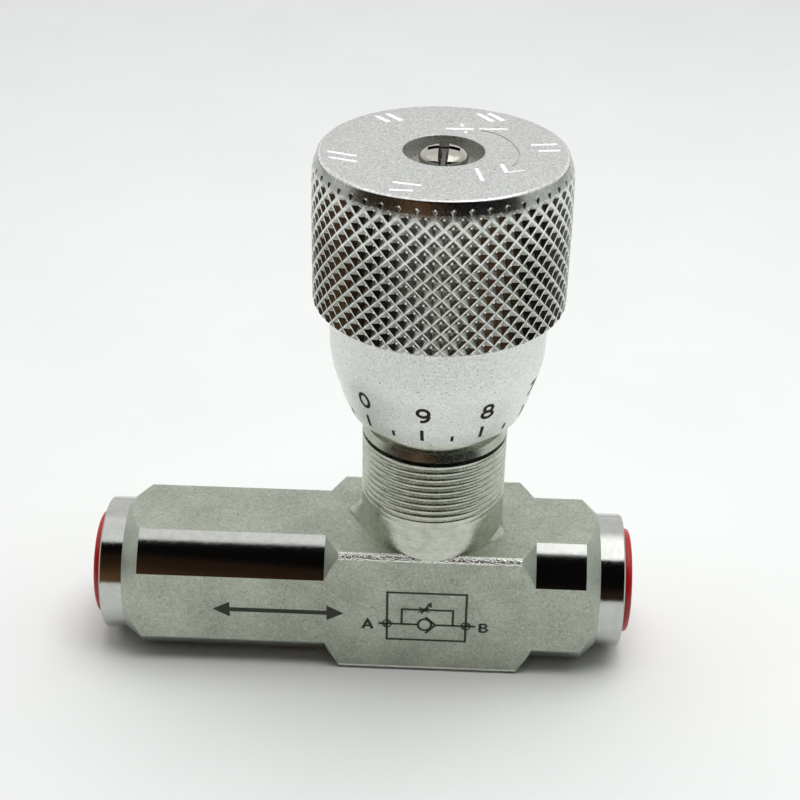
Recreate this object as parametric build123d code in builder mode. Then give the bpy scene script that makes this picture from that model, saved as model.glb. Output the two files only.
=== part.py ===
from build123d import *
import math
import os

# In-line one-way flow control valve (throttle check valve) for G1/4 pipework.
# Row frame: origin on the bottom flat, straight below the stem. +X runs along the flow axis
# towards port B (the short arm), -X towards port A (the long arm), the marked face looks
# along -Y, and +Z runs up the stem to the knob. All lengths are in millimetres.

# ---- Bar and turned outside of the valve body ----
BAR = 20.0                       # square bar, across flats
BAR_EDGE_R = 0.8                 # drawn corner radius of the bar
FLOW_Z = BAR / 2                 # height of the flow axis
ARM_R = 11.4                     # turned corners of both arms
NECK_R = 9.5                     # round collars at the two ends
NECK_CHAMFER = 0.2
CORNER_R = math.sqrt(2) * (BAR / 2 - BAR_EDGE_R) + BAR_EDGE_R   # across the rounded corners
A_END, A_NECK, A_CONE = -46.4, -43.2, -40.7                     # long arm, port A
B_END, B_NECK, B_CONE = 27.2, 23.75, 21.6                       # short arm, port B
MID_HALF = 12.6                  # half length of the full square block under the stem
MID_CONE = 14.65                 # where its corner cones reach the arms

# ---- Ports, G1/4 ----
THREAD_MINOR_R = 5.725           # wall of the port thread, drawn at its minor diameter
LEAD_R = 6.65                    # unthreaded lead-in at the mouth
LEAD_DEPTH = 3.0
THREAD_LENGTH = 11.0
A_THREAD = A_END + LEAD_DEPTH
B_THREAD = B_END - LEAD_DEPTH
A_THREAD_END = A_THREAD + THREAD_LENGTH
B_THREAD_END = B_THREAD - THREAD_LENGTH

# ---- Check valve, in the long arm ----
CHAMBER_R = 5.5
ANNULUS_R = 7.5
ANNULUS_START = -21.6
SEAT_FACE = -14.5                # face of the check seat that the poppet closes on
CHECK_SEAT_OUTER_R = 4.2
CHECK_SEAT_BORE_R = 2.8
CHECK_SEAT_LENGTH = 4.0
CROSS_BORE_R = 3.2
FIT_GAP = 0.02                   # gap left round pressed-in inserts
SLIDE_GAP = 0.05                 # radial running clearance of sliding pieces
SEAT_GAP = 0.02                  # daylight left between closed sealing faces
POPPET_R = CHAMBER_R - SLIDE_GAP
POPPET_TIP_R = 1.2
POPPET_BACK = -26.4
POPPET_HOLLOW_R = 3.9
POPPET_FLOOR = -17.9
POPPET_HOLE_R = 1.2
POPPET_HOLE_X = -19.2
RETAINER_FACE = -29.0
RETAINER_THICK = 1.4
RETAINER_BORE_R = 2.5
RING_SLOT = 1.1                  # width of the retaining ring's groove
RING_THICK = 1.0
RING_GROOVE_R = 6.0
RING_INNER_R = 4.7
RING_GAP_DEG = 50.0
CHECK_WIRE_R = 0.4
CHECK_COIL_R = 3.2
CHECK_COILS = 6.0

# ---- Passage from the check chamber up to the needle ----
PASSAGE_R = 1.25
PASSAGE_START = Vector(-16.2, 0, 16.0)
PASSAGE_END = Vector(-3.5, 0, 19.0)

# ---- Stem ----
STEM_R = 9.92                    # M20 x 1 panel thread, crest
THREAD_PITCH = 1.0
THREAD_DEPTH = 0.58
THREAD_START = 24.2              # first, shallow turn of the run-out
THREAD_TURNS = 10
RUNOUT_TURNS = 3
RELIEF_Z = (34.75, 35.35)        # relief groove above the last turn
RELIEF_R = 9.35
SHOULDER_Z = 36.42
SHOULDER_R = 9.45                # top edge of the steep lead-in cone above the groove
STEM_NECK_R = 8.8                # reduced neck inside the knob's skirt
STEM_TOP = 50.0
FOOT_R = 9.98                    # foot where the stem meets the top flat
FOOT_SINK = 0.5
FOOT_RISE = 2.3
FOOT_SHRINK = 0.8                # size of its top, inside the stem, against its base
FOOT_POINT = (-11.95, 1.05)      # it runs out to a point above the long arm
FOOT_POINT_R = 0.15
STEM_BORE_R = 4.5
CARTRIDGE_R = 7.0                # threaded bore for the gland nut
CARTRIDGE_Z = 38.0
PIN_SLOT_WIDTH = 1.7
PIN_SLOT_REACH = 6.15
PIN_SLOT_Z = 28.6
WIPER_GROOVE_Z = (46.7, 48.1)
WIPER_GROOVE_R = 7.85
WIPER_SECTION_R = 0.55

# ---- Needle and its seat ----
NEEDLE_SEAT_R = 4.0
NEEDLE_SEAT_BORE_R = 2.3
NEEDLE_SEAT_Z = (14.5, 17.5)
CLOSING_STROKE = 1.5             # how far the needle stands above its seat as drawn
NEEDLE_TAPER = math.tan(math.radians(20))
NEEDLE_TIP_R = 0.8
NEEDLE_SHANK_R = 3.0
NEEDLE_GUIDE_R = STEM_BORE_R - SLIDE_GAP
NEEDLE_GUIDE_Z = 21.9
NEEDLE_TOP = 36.6
SEAL_GROOVE_Z = (23.2, 26.0)
SEAL_GROOVE_R = 3.0
SEAL_SECTION_R = 0.715
BACKUP_THICK = 1.1
PIN_R = 0.75
PIN_Z = 31.0
PIN_HALF_LENGTH = 6.0
SOCKET_R = 3.1
SOCKET_Z = 32.6
CLIP_Z = 34.6
CLIP_WIRE_R = 0.5
CLIP_GROOVE_HALF = 0.55

# ---- Spindle and gland nut ----
STUB_R = SOCKET_R - SLIDE_GAP
STUB_Z = 32.8
STUB_GROOVE_R = 2.5
STUB_GROOVE_HALF = 0.65
SPINDLE_START = NEEDLE_TOP + 0.05
SPINDLE_SHANK_R = 4.4            # plain length that dips into the needle's bore
SPINDLE_THREAD_R = 4.95          # M10 x 1, crest
SPINDLE_THREAD_Z = CARTRIDGE_Z + CLOSING_STROKE + 0.3
COLLAR_R = 6.0
COLLAR_Z = (56.5, 60.0)
DRIVE_R = 4.0                    # D-shaped drive end inside the knob
DRIVE_FLAT = 3.2
DRIVE_TOP = 69.4
GLAND_Z = 38.2
GLAND_R = CARTRIDGE_R - FIT_GAP
GLAND_BORE_R = 5.0
GLAND_FLANGE_R = 8.5
GLAND_FLANGE_THICK = 2.0
GLAND_SLOT_WIDTH = 2.0
GLAND_GROOVE_Z = (39.0, 40.3)
GLAND_GROOVE_R = 6.0
GLAND_RING_R = 0.49

# ---- Knob ----
KNOB_TOP = 75.25
KNOB_FACE_R = 15.75
KNOB_EDGE = 0.4                  # rounding of the top face's rim
KNURL_R = 16.5
KNURL_Z = (54.9, 73.6)
KNURL_CHAMFER = 0.5
SKIRT_R = 14.3
SKIRT_BOTTOM = 39.1
SKIRT_CURVE = [(11.75, 39.35), (12.42, 41.0), (13.0, 43.0), (13.6, 45.0), (14.1, 47.0), (SKIRT_R, 50.0)]
SKIRT_EDGE_R = 11.5
LIP_R = 14.75                    # thin ring under the knurled grip
LIP_THICK = 0.4
SKIRT_BORE_R = 9.0
WEB_Z = COLLAR_Z[1]
SOCKET_TOP = 69.5
RECESS_R = 5.1
RECESS_FLOOR = 73.0
SCREW_HOLE_R = 1.6

# ---- Knob screw, cross recessed pan head ----
SCREW_R = 1.5
SCREW_TAP_R = 1.52
SCREW_TIP = 61.0
SCREW_TAP_END = 60.6
SCREW_HEAD_R = 3.1
SCREW_HEAD_SIDE = 1.6
SCREW_HEAD_HEIGHT = 2.7
CROSS_LENGTH = 3.4
CROSS_WIDTH = 0.8
CROSS_DEPTH = 1.3

# ---- Port caps ----
CAP_FLANGE_R = 7.4
CAP_FLANGE = 1.2
CAP_PLUG_R = LEAD_R - SLIDE_GAP
CAP_PLUG = 2.8
CAP_HOLLOW_R = 5.6
CAP_FLOOR = 0.7

flow_axis = Axis((0, 0, FLOW_Z), (1, 0, 0))
flow_plane = Plane.XY.offset(FLOW_Z)     # holds profiles turned round the flow axis


def ring_section(radius, z, section_radius):
    """Sketch of a ring's round section, to be revolved about the stem's axis."""
    with BuildSketch(Plane.XZ) as section:
        with Locations((radius, z)):
            Circle(section_radius)
    return section.sketch


def foot_outline(z, size):
    """Sketch of the stem's foot at a height: a circle drawn out to a point, scaled by size."""
    with BuildSketch(Plane.XY.offset(z)) as outline:
        Circle(FOOT_R * size)
        with Locations((FOOT_POINT[0] * size, FOOT_POINT[1] * size)):
            Circle(FOOT_POINT_R * size)
        make_hull()
    return outline.sketch


# ---- Valve body ----
with BuildPart() as valve_body:
    # Arms, corner cones and end collars, turned round the flow axis
    with BuildSketch(flow_plane):
        with BuildLine():
            Polyline(
                (A_END, 0),
                (A_END, NECK_R - NECK_CHAMFER),
                (A_END + NECK_CHAMFER, NECK_R),
                (A_NECK, NECK_R),
                (A_CONE, ARM_R),
                (-MID_CONE, ARM_R),
                (-MID_HALF, CORNER_R),
                (-MID_HALF + 0.5, CORNER_R + 0.5),
                (MID_HALF - 0.5, CORNER_R + 0.5),
                (MID_HALF, CORNER_R),
                (MID_CONE, ARM_R),
                (B_CONE, ARM_R),
                (B_NECK, NECK_R),
                (B_END - NECK_CHAMFER, NECK_R),
                (B_END, NECK_R - NECK_CHAMFER),
                (B_END, 0),
                close=True,
            )
        make_face()
    revolve(axis=flow_axis)
    # The square bar it is turned from
    with BuildSketch(Plane.YZ.offset(A_END)):
        with Locations((0, FLOW_Z)):
            RectangleRounded(BAR, BAR, BAR_EDGE_R)
    extrude(amount=B_END - A_END, mode=Mode.INTERSECT)

    # Foot of the stem, drawn out to a sloping point above the long arm
    add(loft([foot_outline(BAR - FOOT_SINK, 1.0), foot_outline(BAR, 1.0)]))
    add(loft([foot_outline(BAR, 1.0), foot_outline(BAR + FOOT_RISE, FOOT_SHRINK)]))

    # Stem: plain shank, thread drawn as rings with a fading run-out, relief and neck
    with BuildSketch(Plane.XZ):
        with BuildLine():
            stem_outline = [(0, BAR - 1.2), (STEM_R, BAR - 1.2)]
            for turn in range(THREAD_TURNS):
                root_z = THREAD_START + THREAD_PITCH * (turn + 0.5)
                depth = THREAD_DEPTH * min(1.0, (turn + 1) / RUNOUT_TURNS)
                half_width = depth * 0.8
                stem_outline.append((STEM_R, root_z - half_width))
                stem_outline.append((STEM_R - depth, root_z))
                stem_outline.append((STEM_R, root_z + half_width))
            stem_outline += [
                (STEM_R, RELIEF_Z[0]),
                (RELIEF_R, RELIEF_Z[0]),
                (RELIEF_R, RELIEF_Z[1]),
                (STEM_R, RELIEF_Z[1]),
                (SHOULDER_R, SHOULDER_Z),
                (STEM_NECK_R, SHOULDER_Z),
                (STEM_NECK_R, WIPER_GROOVE_Z[0]),
                (WIPER_GROOVE_R, WIPER_GROOVE_Z[0]),
                (WIPER_GROOVE_R, WIPER_GROOVE_Z[1]),
                (STEM_NECK_R, WIPER_GROOVE_Z[1]),
                (STEM_NECK_R, STEM_TOP),
                (0, STEM_TOP),
            ]
            Polyline(*stem_outline, close=True)
        make_face()
    revolve(axis=Axis.Z)

    # Bores along the flow axis, from port A through the check chamber to port B
    with BuildSketch(flow_plane):
        with BuildLine():
            Polyline(
                (A_END, 0),
                (A_END, LEAD_R),
                (A_THREAD, LEAD_R),
                (A_THREAD, THREAD_MINOR_R),
                (A_THREAD_END, THREAD_MINOR_R),
                (A_THREAD_END, CHAMBER_R),
                (RETAINER_FACE - RETAINER_THICK - RING_SLOT, CHAMBER_R),
                (RETAINER_FACE - RETAINER_THICK - RING_SLOT, RING_GROOVE_R),
                (RETAINER_FACE - RETAINER_THICK, RING_GROOVE_R),
                (RETAINER_FACE - RETAINER_THICK, CHAMBER_R),
                (ANNULUS_START, CHAMBER_R),
                (ANNULUS_START, ANNULUS_R),
                (SEAT_FACE, ANNULUS_R),
                (SEAT_FACE, CHECK_SEAT_OUTER_R),
                (SEAT_FACE + CHECK_SEAT_LENGTH, CHECK_SEAT_OUTER_R),
                (SEAT_FACE + CHECK_SEAT_LENGTH, CROSS_BORE_R),
                (B_THREAD_END, CROSS_BORE_R),
                (B_THREAD_END, THREAD_MINOR_R),
                (B_THREAD, THREAD_MINOR_R),
                (B_THREAD, LEAD_R),
                (B_END, LEAD_R),
                (B_END, 0),
                close=True,
            )
        make_face()
    revolve(axis=flow_axis, mode=Mode.SUBTRACT)

    # Bores down the stem: gland nut, needle guide, seat insert, hole into the flow bore
    with BuildSketch(Plane.XZ):
        with BuildLine():
            Polyline(
                (0, FLOW_Z),
                (NEEDLE_SEAT_BORE_R + 0.2, FLOW_Z),
                (NEEDLE_SEAT_BORE_R + 0.2, NEEDLE_SEAT_Z[0]),
                (NEEDLE_SEAT_R, NEEDLE_SEAT_Z[0]),
                (NEEDLE_SEAT_R, NEEDLE_SEAT_Z[1]),
                (STEM_BORE_R, NEEDLE_SEAT_Z[1]),
                (STEM_BORE_R, CARTRIDGE_Z),
                (CARTRIDGE_R, CARTRIDGE_Z),
                (CARTRIDGE_R, STEM_TOP),
                (0, STEM_TOP),
                close=True,
            )
        make_face()
    revolve(axis=Axis.Z, mode=Mode.SUBTRACT)

    # Two keyways that the needle's cross pin slides in
    with BuildSketch(Plane.XY.offset(PIN_SLOT_Z)):
        Rectangle(PIN_SLOT_WIDTH, 2 * PIN_SLOT_REACH)
    extrude(amount=CARTRIDGE_Z - PIN_SLOT_Z, mode=Mode.SUBTRACT)

    # Slanted drilling that feeds the needle from the check chamber
    passage = PASSAGE_END - PASSAGE_START
    with BuildSketch(Plane(origin=PASSAGE_START, z_dir=passage)):
        Circle(PASSAGE_R)
    extrude(amount=passage.length, mode=Mode.SUBTRACT)
valve_body.part.label = "valve_body"

# ---- Check seat: hardened ring that the poppet closes on ----
with BuildPart() as check_seat:
    with BuildSketch(Plane.YZ.offset(SEAT_FACE)):
        with Locations((0, FLOW_Z)):
            Circle(CHECK_SEAT_OUTER_R - FIT_GAP)
            Circle(CHECK_SEAT_BORE_R, mode=Mode.SUBTRACT)
    extrude(amount=CHECK_SEAT_LENGTH)
check_seat.part.label = "check_seat"

# ---- Check poppet: hollow, guided in the chamber, with a 45 degree nose ----
nose_root = SEAT_FACE - SEAT_GAP - (POPPET_R - CHECK_SEAT_BORE_R)
nose_tip = SEAT_FACE - SEAT_GAP + (CHECK_SEAT_BORE_R - POPPET_TIP_R)
with BuildPart() as check_poppet:
    with BuildSketch(flow_plane):
        with BuildLine():
            Polyline(
                (POPPET_BACK, POPPET_HOLLOW_R),
                (POPPET_BACK, POPPET_R),
                (nose_root, POPPET_R),
                (nose_tip, POPPET_TIP_R),
                (nose_tip, 0),
                (POPPET_FLOOR, 0),
                (POPPET_FLOOR, POPPET_HOLLOW_R),
                close=True,
            )
        make_face()
    revolve(axis=flow_axis)
    # Four flow holes through the wall behind the nose
    for flow_hole_plane in (Plane.XY.offset(FLOW_Z), Plane.XZ.offset(0)):
        centre = (POPPET_HOLE_X, 0) if flow_hole_plane.z_dir.Z else (POPPET_HOLE_X, FLOW_Z)
        with BuildSketch(flow_hole_plane):
            with Locations(centre):
                Circle(POPPET_HOLE_R)
        extrude(amount=POPPET_R + 1, both=True, mode=Mode.SUBTRACT)
check_poppet.part.label = "check_poppet"

# ---- Check spring, between the retainer and the poppet's hollow ----
spring_start = RETAINER_FACE + CHECK_WIRE_R + 0.02
spring_end = POPPET_FLOOR - CHECK_WIRE_R - 0.02
with BuildPart() as check_spring:
    with BuildLine() as coil:
        Helix(
            pitch=(spring_end - spring_start) / CHECK_COILS,
            height=spring_end - spring_start,
            radius=CHECK_COIL_R,
            center=(spring_start, 0, FLOW_Z),
            direction=(1, 0, 0),
        )
    with BuildSketch(Plane(origin=coil.line @ 0, z_dir=coil.line % 0)):
        Circle(CHECK_WIRE_R)
    sweep()
check_spring.part.label = "check_spring"

# ---- Spring retainer: washer held by the retaining ring ----
with BuildPart() as spring_retainer:
    with BuildSketch(Plane.YZ.offset(RETAINER_FACE - RETAINER_THICK)):
        with Locations((0, FLOW_Z)):
            Circle(CHAMBER_R - SLIDE_GAP)
            Circle(RETAINER_BORE_R, mode=Mode.SUBTRACT)
    extrude(amount=RETAINER_THICK)
spring_retainer.part.label = "spring_retainer"

# ---- Retaining ring: sprung C ring in the groove of the chamber ----
with BuildPart() as retaining_ring:
    with BuildSketch(Plane.YZ.offset(RETAINER_FACE - RETAINER_THICK - RING_THICK)):
        with Locations((0, FLOW_Z)):
            Circle(RING_GROOVE_R - SLIDE_GAP)
            Circle(RING_INNER_R, mode=Mode.SUBTRACT)
        gap_half = RING_GROOVE_R * math.tan(math.radians(RING_GAP_DEG / 2))
        with BuildLine():
            Polyline(
                (0, FLOW_Z),
                (-gap_half, FLOW_Z - RING_GROOVE_R),
                (gap_half, FLOW_Z - RING_GROOVE_R),
                close=True,
            )
        make_face(mode=Mode.SUBTRACT)
    extrude(amount=RING_THICK)
retaining_ring.part.label = "retaining_ring"

# ---- Needle seat: hardened ring pressed in below the needle ----
with BuildPart() as needle_seat:
    with BuildSketch(Plane.XY.offset(NEEDLE_SEAT_Z[0])):
        Circle(NEEDLE_SEAT_R - FIT_GAP)
        Circle(NEEDLE_SEAT_BORE_R, mode=Mode.SUBTRACT)
    extrude(amount=NEEDLE_SEAT_Z[1] - NEEDLE_SEAT_Z[0])
needle_seat.part.label = "needle_seat"

# ---- Throttle needle: tapered tip, sealed guide, cross pin hole and spindle socket ----
taper_contact_z = NEEDLE_SEAT_Z[1] + CLOSING_STROKE
taper_contact_r = NEEDLE_SEAT_BORE_R - SEAT_GAP
tip_z = taper_contact_z - (taper_contact_r - NEEDLE_TIP_R) / NEEDLE_TAPER
taper_top_z = taper_contact_z + (NEEDLE_SHANK_R - taper_contact_r) / NEEDLE_TAPER
with BuildPart() as throttle_needle:
    with BuildSketch(Plane.XZ):
        with BuildLine():
            Polyline(
                (0, tip_z),
                (NEEDLE_TIP_R, tip_z),
                (NEEDLE_SHANK_R, taper_top_z),
                (NEEDLE_SHANK_R, NEEDLE_GUIDE_Z),
                (NEEDLE_GUIDE_R, NEEDLE_GUIDE_Z),
                (NEEDLE_GUIDE_R, SEAL_GROOVE_Z[0]),
                (SEAL_GROOVE_R, SEAL_GROOVE_Z[0]),
                (SEAL_GROOVE_R, SEAL_GROOVE_Z[1]),
                (NEEDLE_GUIDE_R, SEAL_GROOVE_Z[1]),
                (NEEDLE_GUIDE_R, NEEDLE_TOP),
                (SOCKET_R, NEEDLE_TOP),
                (SOCKET_R, CLIP_Z + CLIP_GROOVE_HALF),
                (SOCKET_R + CLIP_WIRE_R + 0.05, CLIP_Z + CLIP_GROOVE_HALF),
                (SOCKET_R + CLIP_WIRE_R + 0.05, CLIP_Z - CLIP_GROOVE_HALF),
                (SOCKET_R, CLIP_Z - CLIP_GROOVE_HALF),
                (SOCKET_R, SOCKET_Z),
                (0, SOCKET_Z),
                close=True,
            )
        make_face()
    revolve(axis=Axis.Z)
    with BuildSketch(Plane.XZ):
        with Locations((0, PIN_Z)):
            Circle(PIN_R)
    extrude(amount=NEEDLE_GUIDE_R + 1, both=True, mode=Mode.SUBTRACT)
throttle_needle.part.label = "throttle_needle"

# ---- Needle seal: O-ring with a backup ring above it ----
seal_ring_radius = (SEAL_GROOVE_R + NEEDLE_GUIDE_R) / 2
seal_ring_z = SEAL_GROOVE_Z[0] + SEAL_SECTION_R + 0.05
with BuildPart() as needle_oring:
    add(ring_section(seal_ring_radius, seal_ring_z, SEAL_SECTION_R))
    revolve(axis=Axis.Z)
needle_oring.part.label = "needle_oring"

with BuildPart() as needle_backup_ring:
    with BuildSketch(Plane.XY.offset(SEAL_GROOVE_Z[1] - BACKUP_THICK - 0.05)):
        Circle(NEEDLE_GUIDE_R - 0.01)
        Circle(SEAL_GROOVE_R + FIT_GAP, mode=Mode.SUBTRACT)
    extrude(amount=BACKUP_THICK)
needle_backup_ring.part.label = "needle_backup_ring"

# ---- Anti-rotation pin across the needle ----
with BuildPart() as anti_rotation_pin:
    with BuildSketch(Plane.XZ):
        with Locations((0, PIN_Z)):
            Circle(PIN_R - FIT_GAP)
    extrude(amount=PIN_HALF_LENGTH, both=True)
anti_rotation_pin.part.label = "anti_rotation_pin"

# ---- Wire ring that ties the needle to the spindle but lets the spindle turn ----
with BuildPart() as needle_clip:
    add(ring_section(SOCKET_R + 0.03, CLIP_Z, CLIP_WIRE_R))
    revolve(axis=Axis.Z)
needle_clip.part.label = "needle_clip"

# ---- Spindle: stub, thread drawn at its crest, collar and D-shaped drive end ----
with BuildPart() as spindle:
    with BuildSketch(Plane.XZ):
        with BuildLine():
            Polyline(
                (0, STUB_Z),
                (STUB_R, STUB_Z),
                (STUB_R, CLIP_Z - STUB_GROOVE_HALF),
                (STUB_GROOVE_R, CLIP_Z - STUB_GROOVE_HALF),
                (STUB_GROOVE_R, CLIP_Z + STUB_GROOVE_HALF),
                (STUB_R, CLIP_Z + STUB_GROOVE_HALF),
                (STUB_R, SPINDLE_START),
                (SPINDLE_SHANK_R, SPINDLE_START),
                (SPINDLE_SHANK_R, SPINDLE_THREAD_Z),
                (SPINDLE_THREAD_R, SPINDLE_THREAD_Z + 0.5),
                (SPINDLE_THREAD_R, COLLAR_Z[0]),
                (COLLAR_R, COLLAR_Z[0]),
                (COLLAR_R, COLLAR_Z[1]),
                (DRIVE_R, COLLAR_Z[1]),
                (DRIVE_R, DRIVE_TOP - 0.4),
                (DRIVE_R - 0.4, DRIVE_TOP),
                (0, DRIVE_TOP),
                close=True,
            )
        make_face()
    revolve(axis=Axis.Z)
    # Drive flat
    with BuildSketch(Plane.XY.offset(COLLAR_Z[1])):
        with Locations((DRIVE_FLAT, 0)):
            Rectangle(DRIVE_R, 2 * DRIVE_R + 1, align=(Align.MIN, Align.CENTER))
    extrude(amount=DRIVE_TOP - COLLAR_Z[1], mode=Mode.SUBTRACT)
    # Tapped hole for the knob screw
    with BuildSketch(Plane.XY.offset(SCREW_TAP_END)):
        Circle(SCREW_TAP_R)
    extrude(amount=DRIVE_TOP - SCREW_TAP_END, mode=Mode.SUBTRACT)
spindle.part.label = "spindle"

# ---- Gland nut: closes the stem and carries the spindle's thread ----
gland_top = STEM_TOP + GLAND_FLANGE_THICK
with BuildPart() as gland_nut:
    with BuildSketch(Plane.XZ):
        with BuildLine():
            Polyline(
                (GLAND_BORE_R, GLAND_Z),
                (GLAND_R, GLAND_Z),
                (GLAND_R, GLAND_GROOVE_Z[0]),
                (GLAND_GROOVE_R, GLAND_GROOVE_Z[0]),
                (GLAND_GROOVE_R, GLAND_GROOVE_Z[1]),
                (GLAND_R, GLAND_GROOVE_Z[1]),
                (GLAND_R, STEM_TOP),
                (GLAND_FLANGE_R, STEM_TOP),
                (GLAND_FLANGE_R, gland_top - 0.4),
                (GLAND_FLANGE_R - 0.4, gland_top),
                (GLAND_BORE_R, gland_top),
                close=True,
            )
        make_face()
    revolve(axis=Axis.Z)
    # Driver slot across the flange
    with BuildSketch(Plane.XY.offset(gland_top - 1.2)):
        Rectangle(2 * GLAND_FLANGE_R + 1, GLAND_SLOT_WIDTH)
    extrude(amount=2, mode=Mode.SUBTRACT)
gland_nut.part.label = "gland_nut"

with BuildPart() as gland_oring:
    add(
        ring_section(
            (GLAND_GROOVE_R + CARTRIDGE_R) / 2,
            (GLAND_GROOVE_Z[0] + GLAND_GROOVE_Z[1]) / 2,
            GLAND_RING_R,
        )
    )
    revolve(axis=Axis.Z)
gland_oring.part.label = "gland_oring"

# ---- Knob ring: O-ring on the stem's neck that drags on the skirt and holds the setting ----
with BuildPart() as knob_friction_ring:
    add(
        ring_section(
            WIPER_GROOVE_R + WIPER_SECTION_R + 0.01,
            (WIPER_GROOVE_Z[0] + WIPER_GROOVE_Z[1]) / 2,
            WIPER_SECTION_R,
        )
    )
    revolve(axis=Axis.Z)
knob_friction_ring.part.label = "knob_friction_ring"

# ---- Knob: knurled grip over a bell-shaped dial skirt ----
with BuildPart() as knob:
    with BuildSketch(Plane.XZ):
        with BuildLine():
            skirt_side = Spline(*SKIRT_CURVE)
            Polyline(
                SKIRT_CURVE[-1],
                (SKIRT_R, KNURL_Z[0] - LIP_THICK),
                (LIP_R, KNURL_Z[0] - LIP_THICK),
                (LIP_R, KNURL_Z[0]),
                (KNURL_R - KNURL_CHAMFER, KNURL_Z[0]),
                (KNURL_R, KNURL_Z[0] + KNURL_CHAMFER),
                (KNURL_R, KNURL_Z[1]),
                (KNOB_FACE_R, KNOB_TOP - KNOB_EDGE),
                (KNOB_FACE_R - KNOB_EDGE, KNOB_TOP),
                (RECESS_R, KNOB_TOP),
                (RECESS_R, RECESS_FLOOR),
                (SCREW_HOLE_R, RECESS_FLOOR),
                (SCREW_HOLE_R, WEB_Z),
                (SKIRT_BORE_R, WEB_Z),
                (SKIRT_BORE_R, SKIRT_BOTTOM),
                (SKIRT_EDGE_R, SKIRT_BOTTOM),
                SKIRT_CURVE[0],
            )
        make_face()
    revolve(axis=Axis.Z)
    # D-shaped socket for the spindle
    with BuildSketch(Plane.XY.offset(WEB_Z)):
        Circle(DRIVE_R + FIT_GAP)
        with Locations((DRIVE_FLAT + FIT_GAP, 0)):
            Rectangle(
                DRIVE_R, 2 * DRIVE_R + 1, align=(Align.MIN, Align.CENTER), mode=Mode.SUBTRACT
            )
    extrude(amount=SOCKET_TOP - WEB_Z, mode=Mode.SUBTRACT)
knob.part.label = "knob"

# ---- Knob screw ----
head_top = RECESS_FLOOR + SCREW_HEAD_HEIGHT
with BuildPart() as knob_screw:
    with BuildSketch(Plane.XZ):
        with BuildLine():
            Polyline(
                (0, head_top),
                (0, SCREW_TIP),
                (SCREW_R - 0.4, SCREW_TIP),
                (SCREW_R, SCREW_TIP + 0.4),
                (SCREW_R, RECESS_FLOOR),
                (SCREW_HEAD_R, RECESS_FLOOR),
                (SCREW_HEAD_R, RECESS_FLOOR + SCREW_HEAD_SIDE),
            )
            ThreePointArc(
                (SCREW_HEAD_R, RECESS_FLOOR + SCREW_HEAD_SIDE),
                (SCREW_HEAD_R * 0.66, head_top - 0.4),
                (0, head_top),
            )
        make_face()
    revolve(axis=Axis.Z)
    # Cross recess
    with BuildSketch(Plane.XY.offset(head_top - CROSS_DEPTH)):
        Rectangle(CROSS_LENGTH, CROSS_WIDTH)
        Rectangle(CROSS_WIDTH, CROSS_LENGTH)
    extrude(amount=CROSS_DEPTH + 1, mode=Mode.SUBTRACT)
knob_screw.part.label = "knob_screw"


def port_cap(end_x, outward):
    """Sketch of a port cap's half section; outward is the way the port faces along X."""
    plug_end = end_x - outward * CAP_PLUG
    rim = end_x + outward * CAP_FLANGE
    with BuildSketch(flow_plane) as section:
        with BuildLine():
            Polyline(
                (plug_end, 0),
                (plug_end, CAP_PLUG_R),
                (end_x, CAP_PLUG_R),
                (end_x, CAP_FLANGE_R),
                (rim, CAP_FLANGE_R),
                (rim, CAP_HOLLOW_R),
                (plug_end + outward * CAP_FLOOR, CAP_HOLLOW_R),
                (plug_end + outward * CAP_FLOOR, 0),
                close=True,
            )
        make_face()
    return section.sketch


# ---- Port caps: soft plugs that keep dirt out of the threads ----
with BuildPart() as port_cap_a:
    add(port_cap(A_END, -1))
    revolve(axis=flow_axis)
port_cap_a.part.label = "port_cap_a"

with BuildPart() as port_cap_b:
    add(port_cap(B_END, 1))
    revolve(axis=flow_axis)
port_cap_b.part.label = "port_cap_b"

parts = [
    valve_body,
    check_seat,
    check_poppet,
    check_spring,
    spring_retainer,
    retaining_ring,
    needle_seat,
    throttle_needle,
    needle_oring,
    needle_backup_ring,
    anti_rotation_pin,
    needle_clip,
    spindle,
    gland_nut,
    gland_oring,
    knob_friction_ring,
    knob,
    knob_screw,
    port_cap_a,
    port_cap_b,
]

os.makedirs("parts", exist_ok=True)
for built in parts:
    export_step(built.part, f"parts/{built.part.label}.step")
    print(built.part.label, round(built.part.volume, 1), built.part.is_valid)
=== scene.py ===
import math

import bmesh
import bpy
import numpy as np
from mathutils import Matrix, Vector


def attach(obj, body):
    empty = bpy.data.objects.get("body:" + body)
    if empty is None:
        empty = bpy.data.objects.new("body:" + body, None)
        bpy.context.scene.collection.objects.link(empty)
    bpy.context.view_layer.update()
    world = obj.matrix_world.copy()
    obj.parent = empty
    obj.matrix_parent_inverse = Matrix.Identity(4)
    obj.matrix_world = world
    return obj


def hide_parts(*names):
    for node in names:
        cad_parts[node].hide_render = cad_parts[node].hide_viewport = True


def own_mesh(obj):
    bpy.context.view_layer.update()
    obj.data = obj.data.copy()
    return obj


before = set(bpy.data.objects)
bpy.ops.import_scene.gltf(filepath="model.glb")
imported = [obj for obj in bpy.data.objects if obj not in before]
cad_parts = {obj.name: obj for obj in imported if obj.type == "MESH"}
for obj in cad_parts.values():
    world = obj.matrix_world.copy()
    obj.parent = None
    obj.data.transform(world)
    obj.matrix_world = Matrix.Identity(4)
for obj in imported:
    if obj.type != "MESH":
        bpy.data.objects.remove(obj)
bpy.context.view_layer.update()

MM = 0.001
FLOW_Z = 10.0
rng = np.random.default_rng(7)


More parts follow.
